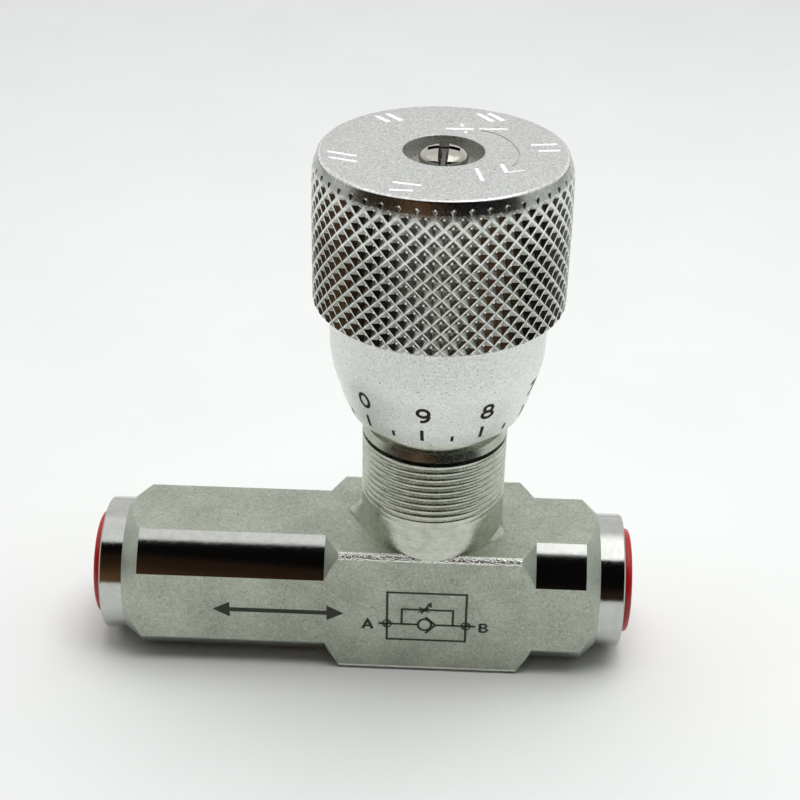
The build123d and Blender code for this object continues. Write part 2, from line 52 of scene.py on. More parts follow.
# ---------------------------------------------------------------- materials
class Shade:
    """One procedural material. Lengths given to its textures are feature sizes in millimetres."""

    def __init__(self, name, metallic=1.0, specular=0.5):
        self.mat = bpy.data.materials.new(name)
        self.mat.use_nodes = True
        tree = self.mat.node_tree
        self.nodes, self.links = tree.nodes, tree.links
        self.nodes.clear()
        self.out = self.nodes.new("ShaderNodeOutputMaterial")
        self.bsdf = self.nodes.new("ShaderNodeBsdfPrincipled")
        self.links.new(self.bsdf.outputs[0], self.out.inputs[0])
        self.bsdf.inputs["Metallic"].default_value = metallic
        self.bsdf.inputs["Specular IOR Level"].default_value = specular
        self.coord = self.nodes.new("ShaderNodeTexCoord").outputs["Object"]
        self.normal = None

    def scaled(self, x, y, z):
        node = self.nodes.new("ShaderNodeMapping")
        node.inputs["Scale"].default_value = (x, y, z)
        self.links.new(self.coord, node.inputs["Vector"])
        return node.outputs[0]

    def noise(self, size, detail=3.0, rough=0.6, vector=None, distortion=0.0):
        node = self.nodes.new("ShaderNodeTexNoise")
        node.inputs["Scale"].default_value = 1.0 / (size * MM)
        node.inputs["Detail"].default_value = detail
        node.inputs["Roughness"].default_value = rough
        node.inputs["Distortion"].default_value = distortion
        self.links.new(vector or self.coord, node.inputs["Vector"])
        return node.outputs["Fac"]

    def cells(self, size, output="Distance"):
        node = self.nodes.new("ShaderNodeTexVoronoi")
        node.inputs["Scale"].default_value = 1.0 / (size * MM)
        self.links.new(self.coord, node.inputs["Vector"])
        return node.outputs[output]

    def ramp(self, value, *stops):
        """stops are (position, grey or colour)."""
        node = self.nodes.new("ShaderNodeValToRGB")
        points = node.color_ramp.elements
        while len(points) < len(stops):
            points.new(0.5)
        for point, (at, colour) in zip(points, stops):
            point.position = at
            if not hasattr(colour, "__len__"):
                colour = (colour, colour, colour)
            point.color = (*colour, 1.0)
        self.links.new(value, node.inputs[0])
        return node.outputs[0]

    def math(self, op, a, b=0.0):
        node = self.nodes.new("ShaderNodeMath")
        node.operation = op
        for socket, value in zip(node.inputs, (a, b)):
            if isinstance(value, (int, float)):
                socket.default_value = value
            else:
                self.links.new(value, socket)
        return node.outputs[0]

    def mix(self, fac, a, b):
        node = self.nodes.new("ShaderNodeMix")
        node.data_type = "RGBA"
        for socket, value in ((node.inputs[0], fac), (node.inputs[6], a), (node.inputs[7], b)):
            if isinstance(value, (int, float)):
                socket.default_value = value
            elif isinstance(value, tuple):
                socket.default_value = (*value, 1.0)
            else:
                self.links.new(value, socket)
        return node.outputs[2]

    def put(self, socket, value):
        target = self.bsdf.inputs[socket]
        if isinstance(value, tuple):
            target.default_value = (*value, 1.0)
        elif isinstance(value, (int, float)):
            target.default_value = value
        else:
            self.links.new(value, target)

    def bump(self, height, depth):
        """depth is the height in millimetres that a change of 1 in the texture stands for."""
        node = self.nodes.new("ShaderNodeBump")
        node.inputs["Distance"].default_value = depth * MM
        node.inputs["Strength"].default_value = 1.0
        self.links.new(height, node.inputs["Height"])
        if self.normal is not None:
            self.links.new(self.normal, node.inputs["Normal"])
        self.normal = node.outputs[0]
        self.links.new(self.normal, self.bsdf.inputs["Normal"])


def satin_steel(name, tint, rough=(0.34, 0.5), grain=0.25, contrast=0.42):
    """Zinc-plated milled steel: slightly green, with a fine felt-like grain and soft patches."""
    s = Shade(name, 0.9)
    fibres = s.noise(grain * 2.0, 6, 0.78, distortion=1.8)
    patches = s.noise(5.5, 3, 0.5)
    both = s.math("ADD", s.math("MULTIPLY", fibres, 0.8), s.math("MULTIPLY", patches, 0.2))
    dark = tuple(c * (1 - contrast) for c in tint)
    pale = tuple(c * (1 + contrast) for c in tint)
    colour = s.ramp(both, (0.36, dark), (0.5, tint), (0.64, pale))
    pits = s.ramp(s.noise(0.5, 2, 0.5), (0.24, 0.0), (0.30, 1.0))
    s.put("Base Color", s.mix(pits, tuple(c * 0.55 for c in tint), colour))
    s.put("Roughness", s.ramp(s.noise(grain * 1.4, 3, 0.6), (0.3, rough[0]), (0.7, rough[1])))
    s.bump(fibres, 0.022)
    s.bump(s.cells(grain * 0.8), 0.004)
    return s.mat


def turned_steel(name, tint, rough=(0.05, 0.12), grain=0.004, pits=0.0):
    """Bright turned steel: mirror-like, with fine tool lines round the flow axis and a frosty grain."""
    s = Shade(name, 1.0)
    tool = s.noise(0.05, 2, 0.5, vector=s.scaled(1.0, 0.03, 0.03))
    frost = s.noise(0.22, 4, 0.75)
    worn = tuple(c * 0.9 for c in tint)
    s.put("Base Color", s.ramp(s.noise(1.4, 4, 0.65), (0.35, worn), (0.65, tint)))
    s.put("Roughness", s.ramp(frost, (0.35, rough[0]), (0.66, rough[1])))
    s.bump(tool, 0.0010)
    s.bump(frost, grain)
    s.bump(s.noise(0.7, 3, 0.6), grain * 2.0)
    scratch = s.ramp(s.noise(0.5, 2, 0.4, distortion=2.0), (0.485, 0.0), (0.5, 1.0), (0.515, 0.0))
    s.bump(scratch, 0.0008)
    if pits:
        s.bump(s.cells(0.24), pits)
    return s.mat


def stem_steel(name):
    """Turned stem: pale and slightly green, with faint tool lines round it."""
    s = Shade(name, 1.0)
    wear = s.noise(1.6, 5, 0.65)
    tool = s.noise(0.16, 3, 0.6, vector=s.scaled(0.02, 0.02, 1.0))
    both = s.math("ADD", s.math("MULTIPLY", wear, 0.6), s.math("MULTIPLY", tool, 0.4))
    dark, middle, pale = (0.42, 0.445, 0.365), (0.54, 0.565, 0.485), (0.66, 0.685, 0.61)
    s.put("Base Color", s.ramp(both, (0.34, dark), (0.5, middle), (0.66, pale)))
    s.put("Roughness", s.ramp(s.noise(0.5, 4, 0.7), (0.3, 0.23), (0.7, 0.33)))
    s.bump(tool, 0.0035)
    s.bump(s.noise(0.35, 3, 0.6), 0.0008)
    return s.mat


def blasted_aluminium(name, tint=(0.66, 0.675, 0.655), metallic=0.85):
    """Bead-blasted aluminium: fine sparkling grain."""
    s = Shade(name, metallic)
    grain = s.cells(0.22, output="Color")
    bead = s.noise(0.24, 5, 0.75)
    dark = tuple(c * 0.74 for c in tint)
    colour = s.ramp(bead, (0.34, dark), (0.53, tint), (0.68, (1.0, 1.0, 0.99)))
    pits = s.ramp(s.noise(0.34, 2, 0.5), (0.29, 0.0), (0.35, 1.0))
    s.put("Base Color", s.mix(pits, tuple(c * 0.5 for c in tint), colour))
    s.put("Roughness", s.ramp(grain, (0.2, 0.28), (0.8, 0.50)))
    s.bump(s.cells(0.24), 0.036)
    s.bump(bead, 0.034)
    return s.mat


def knurl_aluminium(name, tint=(0.90, 0.91, 0.88), rough=(0.16, 0.30), grain=0.010):
    """Cut aluminium, duller in patches."""
    s = Shade(name, 1.0)
    wear = s.noise(0.5, 4, 0.7)
    s.put("Base Color", s.ramp(wear, (0.35, tuple(c * 0.66 for c in tint)), (0.65, tint)))
    s.put("Roughness", s.ramp(s.noise(0.2, 3, 0.6), (0.3, rough[0]), (0.7, rough[1])))
    s.bump(s.noise(0.18, 4, 0.7), grain)
    return s.mat


def ink(name, tint):
    s = Shade(name, 0.0, 0.2)
    patch = s.noise(0.12, 4, 0.7)
    dark, pale = (tuple(c * k for c in tint) for k in (0.7, 1.6))
    s.put("Base Color", s.ramp(patch, (0.3, dark), (0.72, pale)))
    s.put("Roughness", s.ramp(patch, (0.3, 0.45), (0.7, 0.7)))
    s.bump(patch, 0.006)
    return s.mat


def red_plastic(name):
    s = Shade(name, 0.0, 0.5)
    dark, pale = (0.36, 0.004, 0.008), (0.48, 0.007, 0.012)
    s.put("Base Color", s.ramp(s.noise(3.0, 3, 0.5), (0.3, dark), (0.7, pale)))
    s.put("Roughness", s.ramp(s.noise(0.4, 3, 0.6), (0.3, 0.28), (0.7, 0.4)))
    s.put("Subsurface Weight", 0.12)
    s.bsdf.inputs["Subsurface Radius"].default_value = (0.0012, 0.0002, 0.0001)
    s.bump(s.noise(0.6, 3, 0.6), 0.01)
    return s.mat


def nickel(name):
    s = Shade(name, 1.0)
    dark, pale = (0.47, 0.455, 0.41), (0.60, 0.58, 0.53)
    s.put("Base Color", s.ramp(s.noise(0.8, 3, 0.6), (0.3, dark), (0.7, pale)))
    s.put("Roughness", s.ramp(s.noise(0.3, 3, 0.6), (0.3, 0.03), (0.7, 0.08)))
    s.bump(s.noise(1.3, 3, 0.6), 0.07)
    return s.mat


def ground_steel(name, tint, rough=(0.18, 0.3)):
    s = Shade(name, 1.0)
    s.put("Base Color", s.ramp(s.noise(0.9, 4, 0.6), (0.3, tuple(c * 0.8 for c in tint)), (0.7, tint)))
    s.put("Roughness", s.ramp(s.noise(0.25, 3, 0.6), (0.3, rough[0]), (0.7, rough[1])))
    s.bump(s.noise(0.15, 3, 0.6), 0.003)
    return s.mat


def rubber(name, tint, rough):
    s = Shade(name, 0.0, 0.4)
    s.put("Base Color", s.ramp(s.noise(0.7, 4, 0.6), (0.3, tuple(c * 0.75 for c in tint)), (0.7, tint)))
    s.put("Roughness", s.ramp(s.noise(0.3, 3, 0.6), (0.3, rough), (0.7, min(1.0, rough + 0.15))))
    s.bump(s.noise(0.2, 3, 0.6), 0.006)
    return s.mat


FLAT = satin_steel("zinc_flat", (0.425, 0.455, 0.385))
ARC = turned_steel("zinc_turned", (0.56, 0.57, 0.54))
CONE = satin_steel("zinc_cone", (0.43, 0.46, 0.40), rough=(0.26, 0.40), grain=0.18, contrast=0.26)
STEM = stem_steel("zinc_stem")
BORE = satin_steel("zinc_bore", (0.42, 0.44, 0.40), rough=(0.3, 0.45), grain=0.2)
# pale copy of the turned zinc for the rounded bar corners: its bright tint is a painted highlight along these
# edges
EDGE_HIGHLIGHT = turned_steel("zinc_edge_painted_highlight", (0.92, 0.93, 0.88), rough=(0.12, 0.26), grain=0.040, pits=0.09)
# near-black steel for the stem's relief groove: painted shade in the groove
GROOVE_SHADE = ground_steel("zinc_groove_painted_shade", (0.035, 0.036, 0.03), (0.4, 0.6))
BODY = [FLAT, ARC, CONE, STEM, BORE, EDGE_HIGHLIGHT, GROOVE_SHADE]
I_FLAT, I_ARC, I_CONE, I_STEM, I_BORE, I_EDGE_HIGHLIGHT, I_GROOVE_SHADE = range(7)

FACE = blasted_aluminium("knob_face")
KNURL = knurl_aluminium("knob_knurl")
# darker copy of the cut aluminium for the turned bands and the chamfer under the rim: painted dark reflection
BAND_PAINTED_REFLECTION = knurl_aluminium("knob_turned_band_painted_reflection", (0.62, 0.63, 0.60), (0.16, 0.26), 0.006)
SKIRT = blasted_aluminium("knob_skirt", (0.87, 0.88, 0.85))
INNER = knurl_aluminium("knob_bore", (0.50, 0.51, 0.48), (0.3, 0.45))
# darker copy of the cut aluminium for the knurl pits' walls: painted shade in the pits
PIT_WALL_SHADED = knurl_aluminium("knob_knurl_pit_painted_shade", (0.68, 0.69, 0.64), (0.14, 0.26), 0.012)
PIT_FLOOR = knurl_aluminium("knob_knurl_floor", (0.86, 0.87, 0.84), (0.10, 0.2), 0.02)
# near-white, almost non-metallic aluminium for the cut face marks: painted highlight on their walls
MARK_HIGHLIGHT = blasted_aluminium("knob_cut_mark_painted_highlight", (0.97, 0.97, 0.96), 0.1)
# paler copy of the cut aluminium for the face's rounded rim: painted highlight line
RIM_HIGHLIGHT = knurl_aluminium("knob_rim_painted_highlight", (0.98, 0.98, 0.96), (0.12, 0.2), 0.006)
RECESS = blasted_aluminium("knob_recess", (0.60, 0.61, 0.57))
KNOB = [FACE, KNURL, BAND_PAINTED_REFLECTION, SKIRT, INNER, PIT_WALL_SHADED, PIT_FLOOR, MARK_HIGHLIGHT, RIM_HIGHLIGHT, RECESS]
I_FACE, I_KNURL, I_BAND_PAINTED_REFLECTION, I_SKIRT, I_INNER, I_WALL_SHADED, I_FLOOR, I_MARK_HIGHLIGHT, I_RIM_HIGHLIGHT, I_RECESS = range(10)


# ---------------------------------------------------------------- mesh tools
def clean(mesh):
    """Welds points that lie together and turns every face outwards."""
    reach = 1.5e-6
    bm = bmesh.new()
    bm.from_mesh(mesh)
    bmesh.ops.remove_doubles(bm, verts=bm.verts, dist=reach)
    bmesh.ops.dissolve_degenerate(bm, edges=bm.edges, dist=reach * 0.3)
    bmesh.ops.recalc_face_normals(bm, faces=bm.faces)
    bm.to_mesh(mesh)
    bm.free()


def make(name, verts, faces, mats, index=None):
    """Object from points in millimetres, in the row frame."""
    mesh = bpy.data.meshes.new(name)
    mesh.from_pydata((np.asarray(verts, float) * MM).tolist(), [], [tuple(int(i) for i in f) for f in faces])
    for mat in mats:
        mesh.materials.append(mat)
    if index is not None:
        mesh.polygons.foreach_set("material_index", np.asarray(index, np.int32))
    clean(mesh)
    obj = bpy.data.objects.new(name, mesh)
    bpy.context.scene.collection.objects.link(obj)
    return obj


def soften(obj, angle=24.0):
    mesh = obj.data
    mesh.polygons.foreach_set("use_smooth", [True] * len(mesh.polygons))
    mesh.set_sharp_from_angle(angle=math.radians(angle))


def combine(obj, other, operation):
    """Boolean of two closed solids; both keep their own faces' materials."""
    mod = obj.modifiers.new("solid", "BOOLEAN")
    mod.operation, mod.object, mod.solver = operation, other, "MANIFOLD"
    bpy.context.view_layer.update()
    graph = bpy.context.evaluated_depsgraph_get()
    before = len(obj.data.polygons)
    mesh = bpy.data.meshes.new_from_object(obj.evaluated_get(graph))
    obj.modifiers.clear()
    obj.data = mesh
    bpy.data.objects.remove(other)
    if not len(mesh.polygons):
        raise RuntimeError(f"{obj.name}: nothing left after {operation}, from {before} faces")
    return obj


def rings_to_faces(count, n, closed):
    faces, rows = [], []
    last = count if closed else count - 1
    for i in range(last):
        a, b = i * n, ((i + 1) % count) * n
        for j in range(n):
            k = (j + 1) % n
            faces.append((a + j, a + k, b + k, b + j))
            rows.append(i)
    return faces, rows


def turned(name, profile, mats, index, axis="z", n=128, centre=(0.0, 0.0), closed=False):
    """Solid of revolution. profile is (radius, place along the axis); index is one slot or one per segment.
    An open profile starts and ends on the axis."""
    t = np.arange(n) * 2 * math.pi / n
    c, s = np.cos(t), np.sin(t)
    verts = []
    for r, h in profile:
        if axis == "z":
            verts.append(np.stack([centre[0] + r * c, centre[1] + r * s, np.full(n, h)], 1))
        else:
            verts.append(np.stack([np.full(n, h), centre[0] + r * c, centre[1] + r * s], 1))
    faces, rows = rings_to_faces(len(profile), n, closed)
    slots = [index[i] if hasattr(index, "__len__") else index for i in rows]
    return make(name, np.concatenate(verts), faces, mats, slots)


def box(name, low, high, mats, index=0):
    x0, y0, z0 = low
    x1, y1, z1 = high
    verts = [(x, y, z) for z in (z0, z1) for x, y in ((x0, y0), (x1, y0), (x1, y1), (x0, y1))]
    faces = [(0, 3, 2, 1), (4, 5, 6, 7), (0, 1, 5, 4), (1, 2, 6, 5), (2, 3, 7, 6), (3, 0, 4, 7)]
    return make(name, verts, faces, mats, [index] * 6)


# ---------------------------------------------------------------- valve body
HALF, EDGE_R = 10.0, 0.8
CORNER_R = math.sqrt(2) * (HALF - EDGE_R) + EDGE_R
ARM_R, NECK_R = 11.4, 9.5
TANGENT_R = math.hypot(HALF, HALF - EDGE_R)
N_FLAT, N_ROUND, N_ARC = 6, 4, 10


def bar_section(turned_r):
    """Cross-section of the square bar cut to a turned radius: points (y, z) round the flow axis,
    and for each segment 0 flat, 1 rounded corner or 2 turned arc."""
    inner = HALF - EDGE_R
    if turned_r <= HALF:
        flat_end, round_end = 0.0, 0.0
    elif turned_r <= TANGENT_R:
        flat_end, round_end = math.acos(HALF / turned_r), 0.0
    else:
        flat_end = math.atan2(inner, HALF)
        q = (min(turned_r, CORNER_R) ** 2 - 2 * inner**2 - EDGE_R**2) / (2 * EDGE_R * inner)
        round_end = math.pi / 4 - math.acos(min(1.0, q / math.sqrt(2)))
    points, zones = [], []
    top = HALF if turned_r > HALF else turned_r
    for k in range(N_FLAT):
        points.append((top, top * math.tan(flat_end) * k / N_FLAT))
        zones.append(0)
    for k in range(N_ROUND):
        if flat_end == 0.0 or round_end == 0.0:
            points.append((top, top * math.tan(flat_end)))
        else:
            a = round_end * k / N_ROUND
            points.append((inner + EDGE_R * math.cos(a), inner + EDGE_R * math.sin(a)))
        zones.append(1)
    if round_end:
        joint = (inner + EDGE_R * math.cos(round_end), inner + EDGE_R * math.sin(round_end))
        start = math.atan2(joint[1], joint[0])
    else:
        start = flat_end
    radius = min(turned_r, CORNER_R)
    for k in range(N_ARC):
        a = start + (math.pi / 4 - start) * k / N_ARC
        points.append((radius * math.cos(a), radius * math.sin(a)))
        zones.append(2)
    octant = np.array(points + [(radius * math.cos(math.pi / 4), radius * math.sin(math.pi / 4))])
    ring, kinds = [], []
    for side in range(4):
        turn = side * math.pi / 2
        c, s = math.cos(turn), math.sin(turn)
        go = octant[:-1] @ np.array([[c, s], [-s, c]])
        c, s = math.cos(turn + math.pi / 2), math.sin(turn + math.pi / 2)
        back = (octant[::-1] * [1, -1])[:-1] @ np.array([[c, s], [-s, c]])
        ring += [go, back]
        kinds += zones + zones[::-1]
    return np.concatenate(ring), kinds


A_END, A_NECK, A_CONE = -46.4, -43.2, -40.7
B_END, B_NECK, B_CONE = 27.2, 23.75, 21.6
MID_HALF, MID_CONE = 12.6, 14.65
NECK_CHAMFER = 0.2
THREAD_R, LEAD_R, ROOT_R = 5.725, 6.65, 6.4
CHAMBER_R, ANNULUS_R, CROSS_R, SEAT_R, GROOVE_R = 5.5, 7.5, 3.2, 4.2, 6.0


def cone(x0, r0, x1, r1, steps=10):
    """Stations of a corner cone, evenly spaced in the angle where it leaves the flats."""
    def edge(r):
        return math.acos(HALF / r) if r > HALF else 0.0
    low, high = sorted((r0, r1))
    radii = [HALF / math.cos(edge(high) * k / steps) for k in range(steps + 1)]
    radii = [low] + [r for r in radii if r > low + 1e-6]
    if low < TANGENT_R < high:
        radii.append(TANGENT_R)
    if low < HALF:
        radii += list(np.linspace(low, HALF, 4))
    radii = sorted(set(radii), reverse=r0 > r1)
    return [(x0 + (x1 - x0) * (r - r0) / (r1 - r0), r) for r in radii]


outside = [(A_END, NECK_R - NECK_CHAMFER, I_CONE)]
outside += [(A_END + d, NECK_R, I_ARC) for d in (NECK_CHAMFER, 1.6)]
outside += [(x, r, I_CONE) for x, r in cone(A_NECK, NECK_R, A_CONE, ARM_R)[:-1]]
outside += [(A_CONE + d, ARM_R, I_ARC) for d in (0.0, 6.0, 13.0, 20.0)]
outside += [(x, r, I_CONE) for x, r in cone(-MID_CONE, ARM_R, -MID_HALF, CORNER_R)[:-1]]
# the middle block's rounded corners take the pale edge material, a painted highlight
outside += [(x, CORNER_R, I_EDGE_HIGHLIGHT) for x in (-MID_HALF, -6.0, 0.0, 6.0)]
outside += [(x, r, I_CONE) for x, r in cone(MID_HALF, CORNER_R, MID_CONE, ARM_R)[:-1]]
outside += [(MID_CONE, ARM_R, I_ARC), (18.0, ARM_R, I_ARC)]
outside += [(x, r, I_CONE) for x, r in cone(B_CONE, ARM_R, B_NECK, NECK_R)[:-1]]
outside += [(B_NECK, NECK_R, I_ARC), (25.5, NECK_R, I_ARC)]
outside += [(B_END - NECK_CHAMFER, NECK_R, I_CONE), (B_END, NECK_R - NECK_CHAMFER, I_CONE)]

PORT_PITCH, PORT_TURNS, THREAD_LENGTH = 1.337, 7, 11.0
LEAD_DEPTH, LEAD_CHAMFER = 3.0, 0.3


def port_thread(start, inwards):
    """Stations of a port's thread, from its mouth inwards, drawn as rings."""
    made = [(start, LEAD_R), (start + inwards * 0.25, THREAD_R)]
    for turn in range(PORT_TURNS):
        x = start + inwards * (0.75 + turn * PORT_PITCH)
        for d, r in ((0.0, THREAD_R), (0.36, ROOT_R), (0.56, ROOT_R), (0.92, THREAD_R)):
            made.append((x + inwards * d, r))
    return made + [(start + inwards * THREAD_LENGTH, THREAD_R)]


inside = [(B_END, LEAD_R + LEAD_CHAMFER), (B_END - LEAD_CHAMFER, LEAD_R)]
inside += port_thread(B_END - LEAD_DEPTH, -1)
inside += [(11.6, CROSS_R), (-10.5, CROSS_R), (-10.5, SEAT_R), (-14.5, SEAT_R)]
inside += [(-14.5, ANNULUS_R), (-21.6, ANNULUS_R), (-21.6, CHAMBER_R)]
# check chamber with the groove for its retaining ring
inside += [(-30.4, CHAMBER_R), (-30.4, GROOVE_R), (-31.5, GROOVE_R), (-31.5, CHAMBER_R), (-32.1, CHAMBER_R)]
inside += port_thread(A_END + LEAD_DEPTH, 1)[::-1]
inside += [(A_END + LEAD_CHAMFER, LEAD_R), (A_END, LEAD_R + LEAD_CHAMFER)]

rings, slots = [], []
for x, r, slot in outside + [(x, r, I_BORE) for x, r in inside]:
    section, kinds = bar_section(r)
    rings.append(np.column_stack([np.full(len(section), x), section[:, 0], section[:, 1] + FLOW_Z]))
    for kind in kinds:
        on_cone = slot == I_CONE
        if slot != I_BORE and kind == 0 and r > HALF:
            slots.append(I_FLAT)
        # rounded corners beside the flats take the pale edge material, a painted highlight
        elif slot != I_BORE and kind == 1 and not on_cone:
            slots.append(I_EDGE_HIGHLIGHT)
        else:
            slots.append(slot)
faces, _ = rings_to_faces(len(rings), len(rings[0]), True)
body = make("valve_body_visual", np.concatenate(rings), faces, BODY, slots)

# stem: plain shank, helical thread with a fading run-out, relief groove, shoulder and neck
STEM_R, NECK_TOP_R, STEM_TOP = 9.92, 8.8, 50.0
FOOT_R, FOOT_TOP = 9.98, 22.3
PITCH, THREAD_LOW, THREAD_HIGH, SHOULDER_Z = 1.0, 23.75, 34.75, 36.42
N = 256
theta = np.arange(N) * 2 * math.pi / N


def drawn_out(x, y, radius):
    """Reach all round of a circle that is drawn out to a point, on straight tangents."""
    half = math.acos(radius / math.hypot(x, y))
    off = np.abs((theta - math.atan2(y, x) + math.pi) % (2 * math.pi) - math.pi)
    return np.where(off < half, radius / np.cos(np.maximum(half - off, 0.0)), radius)


def foot(z):
    """Radius all round the stem's foot at a height above the block's top flat."""
    long_side = min(1.0, max(0.0, (FOOT_TOP - z) / 2.1)) ** 1.2
    short_side = min(1.0, max(0.0, (20.75 - z) / 0.7)) ** 1.1
    left = drawn_out(-11.95, 1.05, FOOT_R) - STEM_R
    right = drawn_out(10.35, -4.0, FOOT_R) - STEM_R
    return STEM_R + np.maximum(left * long_side, right * short_side)


stem_rings = []


def stem_ring(radius, z):
    radius = np.broadcast_to(np.asarray(radius, float), (N,))
    stem_rings.append(np.column_stack([radius * np.cos(theta), radius * np.sin(theta), np.full(N, z)]))


stem_ring(0.0, 18.8)
stem_ring(foot(20.0), 18.8)
for z in (20.0, 20.15, 20.24, 20.3, 20.36, 20.45, 20.55, 20.75, 21.0, 21.3, 21.7, FOOT_TOP):
    stem_ring(foot(z), z)
stem_ring(STEM_R, THREAD_LOW)
lower = len(stem_rings)

# one turn of the thread: place along the pitch, share of the full depth
RISE = [(0.1, 0.03), (0.2, 0.12), (0.3, 0.30), (0.4, 0.62), (0.47, 1.0)]
TURN = [(0.0, 0.0)] + RISE + [(1.0 - place, share) for place, share in reversed(RISE)]
DEPTH = 0.42
turns = int(round(THREAD_HIGH - THREAD_LOW)) + 3
helix = []
for turn in range(turns):
    for place, share in TURN:
        z = THREAD_LOW + PITCH * (turn + place - 1 + np.arange(N) / N)
        z = np.clip(z, THREAD_LOW, THREAD_HIGH)
        fade = np.clip((z - THREAD_LOW) / 4.2, 0, 1) ** 1.9 * np.clip((THREAD_HIGH - z) / 0.12, 0, 1)
        r = STEM_R - DEPTH * share * fade
        helix.append(np.column_stack([r * np.cos(theta), r * np.sin(theta), z]))
per = len(TURN)
verts = np.concatenate(stem_rings + helix)
stem_faces, _ = rings_to_faces(lower, N, False)
for i in range(len(helix) - 1):
    a, b = (lower + i) * N, (lower + i + 1) * N
    for j in range(N - 1):
        stem_faces.append((a + j, a + j + 1, b + j + 1, b + j))
for i in range(len(helix) - per - 1):
    a, b = (lower + i) * N, (lower + i + 1) * N
    stem_faces.append((a + N - 1, a + per * N, b + per * N, b + N - 1))
base = len(verts)
upper = [(STEM_R, THREAD_HIGH), (9.42, 34.78), (9.35, 34.86), (9.35, 35.24), (9.42, 35.32)]
upper += [(9.86, 35.35), (STEM_R, 35.4), (9.5, 36.3), (9.44, 36.39), (9.36, SHOULDER_Z)]
upper += [(NECK_TOP_R, SHOULDER_Z), (NECK_TOP_R, 46.7), (7.85, 46.7), (7.85, 48.1)]
upper += [(NECK_TOP_R, 48.1), (NECK_TOP_R, 49.7), (8.5, STEM_TOP), (0.0, STEM_TOP)]
# rows of the relief groove; they take the near-black material, painted shade
GROOVE_SHADE_ROWS = (1, 2, 3)
stem_rings = []
for r, z in upper:
    stem_ring(r, z)
upper_faces, rows = rings_to_faces(len(upper), N, False)
stem_faces += [tuple(i + base for i in f) for f in upper_faces]
slots = [I_STEM] * (len(stem_faces) - len(rows))
slots += [I_GROOVE_SHADE if row in GROOVE_SHADE_ROWS else I_STEM for row in rows]
stem = make("stem", np.concatenate([verts] + stem_rings), stem_faces, BODY, slots)
body = combine(body, stem, "UNION")

# the stem's bore: needle seat, needle guide, then the gland nut's thread drawn as rings
GLAND_R, GLAND_TURNS = 7.0, 11
bore = [(0, 9.5), (2.5, 9.5), (2.5, 14.5), (4.0, 14.5), (4.0, 17.5), (4.5, 17.5)]
bore += [(4.5, 38.0), (GLAND_R, 38.0)]
for turn in range(GLAND_TURNS):
    bore += [(GLAND_R + deep, z + turn) for deep, z in ((0.0, 38.4), (0.25, 38.7), (0.25, 38.8), (0.0, 39.1))]
bore += [(GLAND_R, 49.6), (7.4, STEM_TOP), (7.4, STEM_TOP + 1.0), (0, STEM_TOP + 1.0)]
body = combine(body, turned("bore", bore, BODY, I_BORE, n=96), "DIFFERENCE")
body = combine(body, box("keyway", (-0.85, -6.15, 28.6), (0.85, 6.15, 38.5), BODY, I_BORE), "DIFFERENCE")
# slanted drilling from the annulus up to the needle
PASSAGE_START, PASSAGE_RUN = Vector((-16.2, 0, 16.0)), Vector((12.7, 0, 3.0))
passage = turned("passage", [(0, 0), (1.25, 0), (1.25, 13.05), (0, 13.05)], BODY, I_BORE, n=32)
slant = PASSAGE_RUN.to_track_quat("Z", "Y").to_matrix().to_4x4()
passage.data.transform(Matrix.Translation(PASSAGE_START * MM) @ slant)
body = combine(body, passage, "DIFFERENCE")
soften(body, 20.0)
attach(body, "valve_housing")
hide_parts("valve_body")


# ---------------------------------------------------------------- knob
KNOB_TOP, KNOB_FOOT, RECESS_FLOOR = 75.25, 39.1, 73.0
KNURL_R, PIT, AROUND, ROW = 16.5, 0.66, 46, 1.127
KNURL_BASE, KNURL_START = 31.244, math.radians(-92.6)
# the skirt's line above its rounded bottom edge, as (radius, height)
SKIRT_LINE = [(11.75, 39.35), (12.42, 41.0), (13.0, 43.0), (13.6, 45.0), (14.1, 47.0)]
SKIRT_LINE += [(14.28, 49.2), (14.3, 50.5)]


def skirt_radius(z):
    """Smooth curve through the skirt's line."""
    radii, heights = zip(*SKIRT_LINE)
    if z >= heights[-1]:
        return radii[-1]
    i = max(0, min(len(SKIRT_LINE) - 2, int(np.searchsorted(heights, z) - 1)))
    slopes = np.gradient(radii, heights)
    h = heights[i + 1] - heights[i]
    t = (z - heights[i]) / h
    return ((2 * t**3 - 3 * t**2 + 1) * radii[i] + (t**3 - 2 * t**2 + t) * h * slopes[i]
            + (-2 * t**3 + 3 * t**2) * radii[i + 1] + (t**3 - t**2) * h * slopes[i + 1])


skirt = [(skirt_radius(z), z) for z in np.arange(39.7, 50.6, 0.45)]
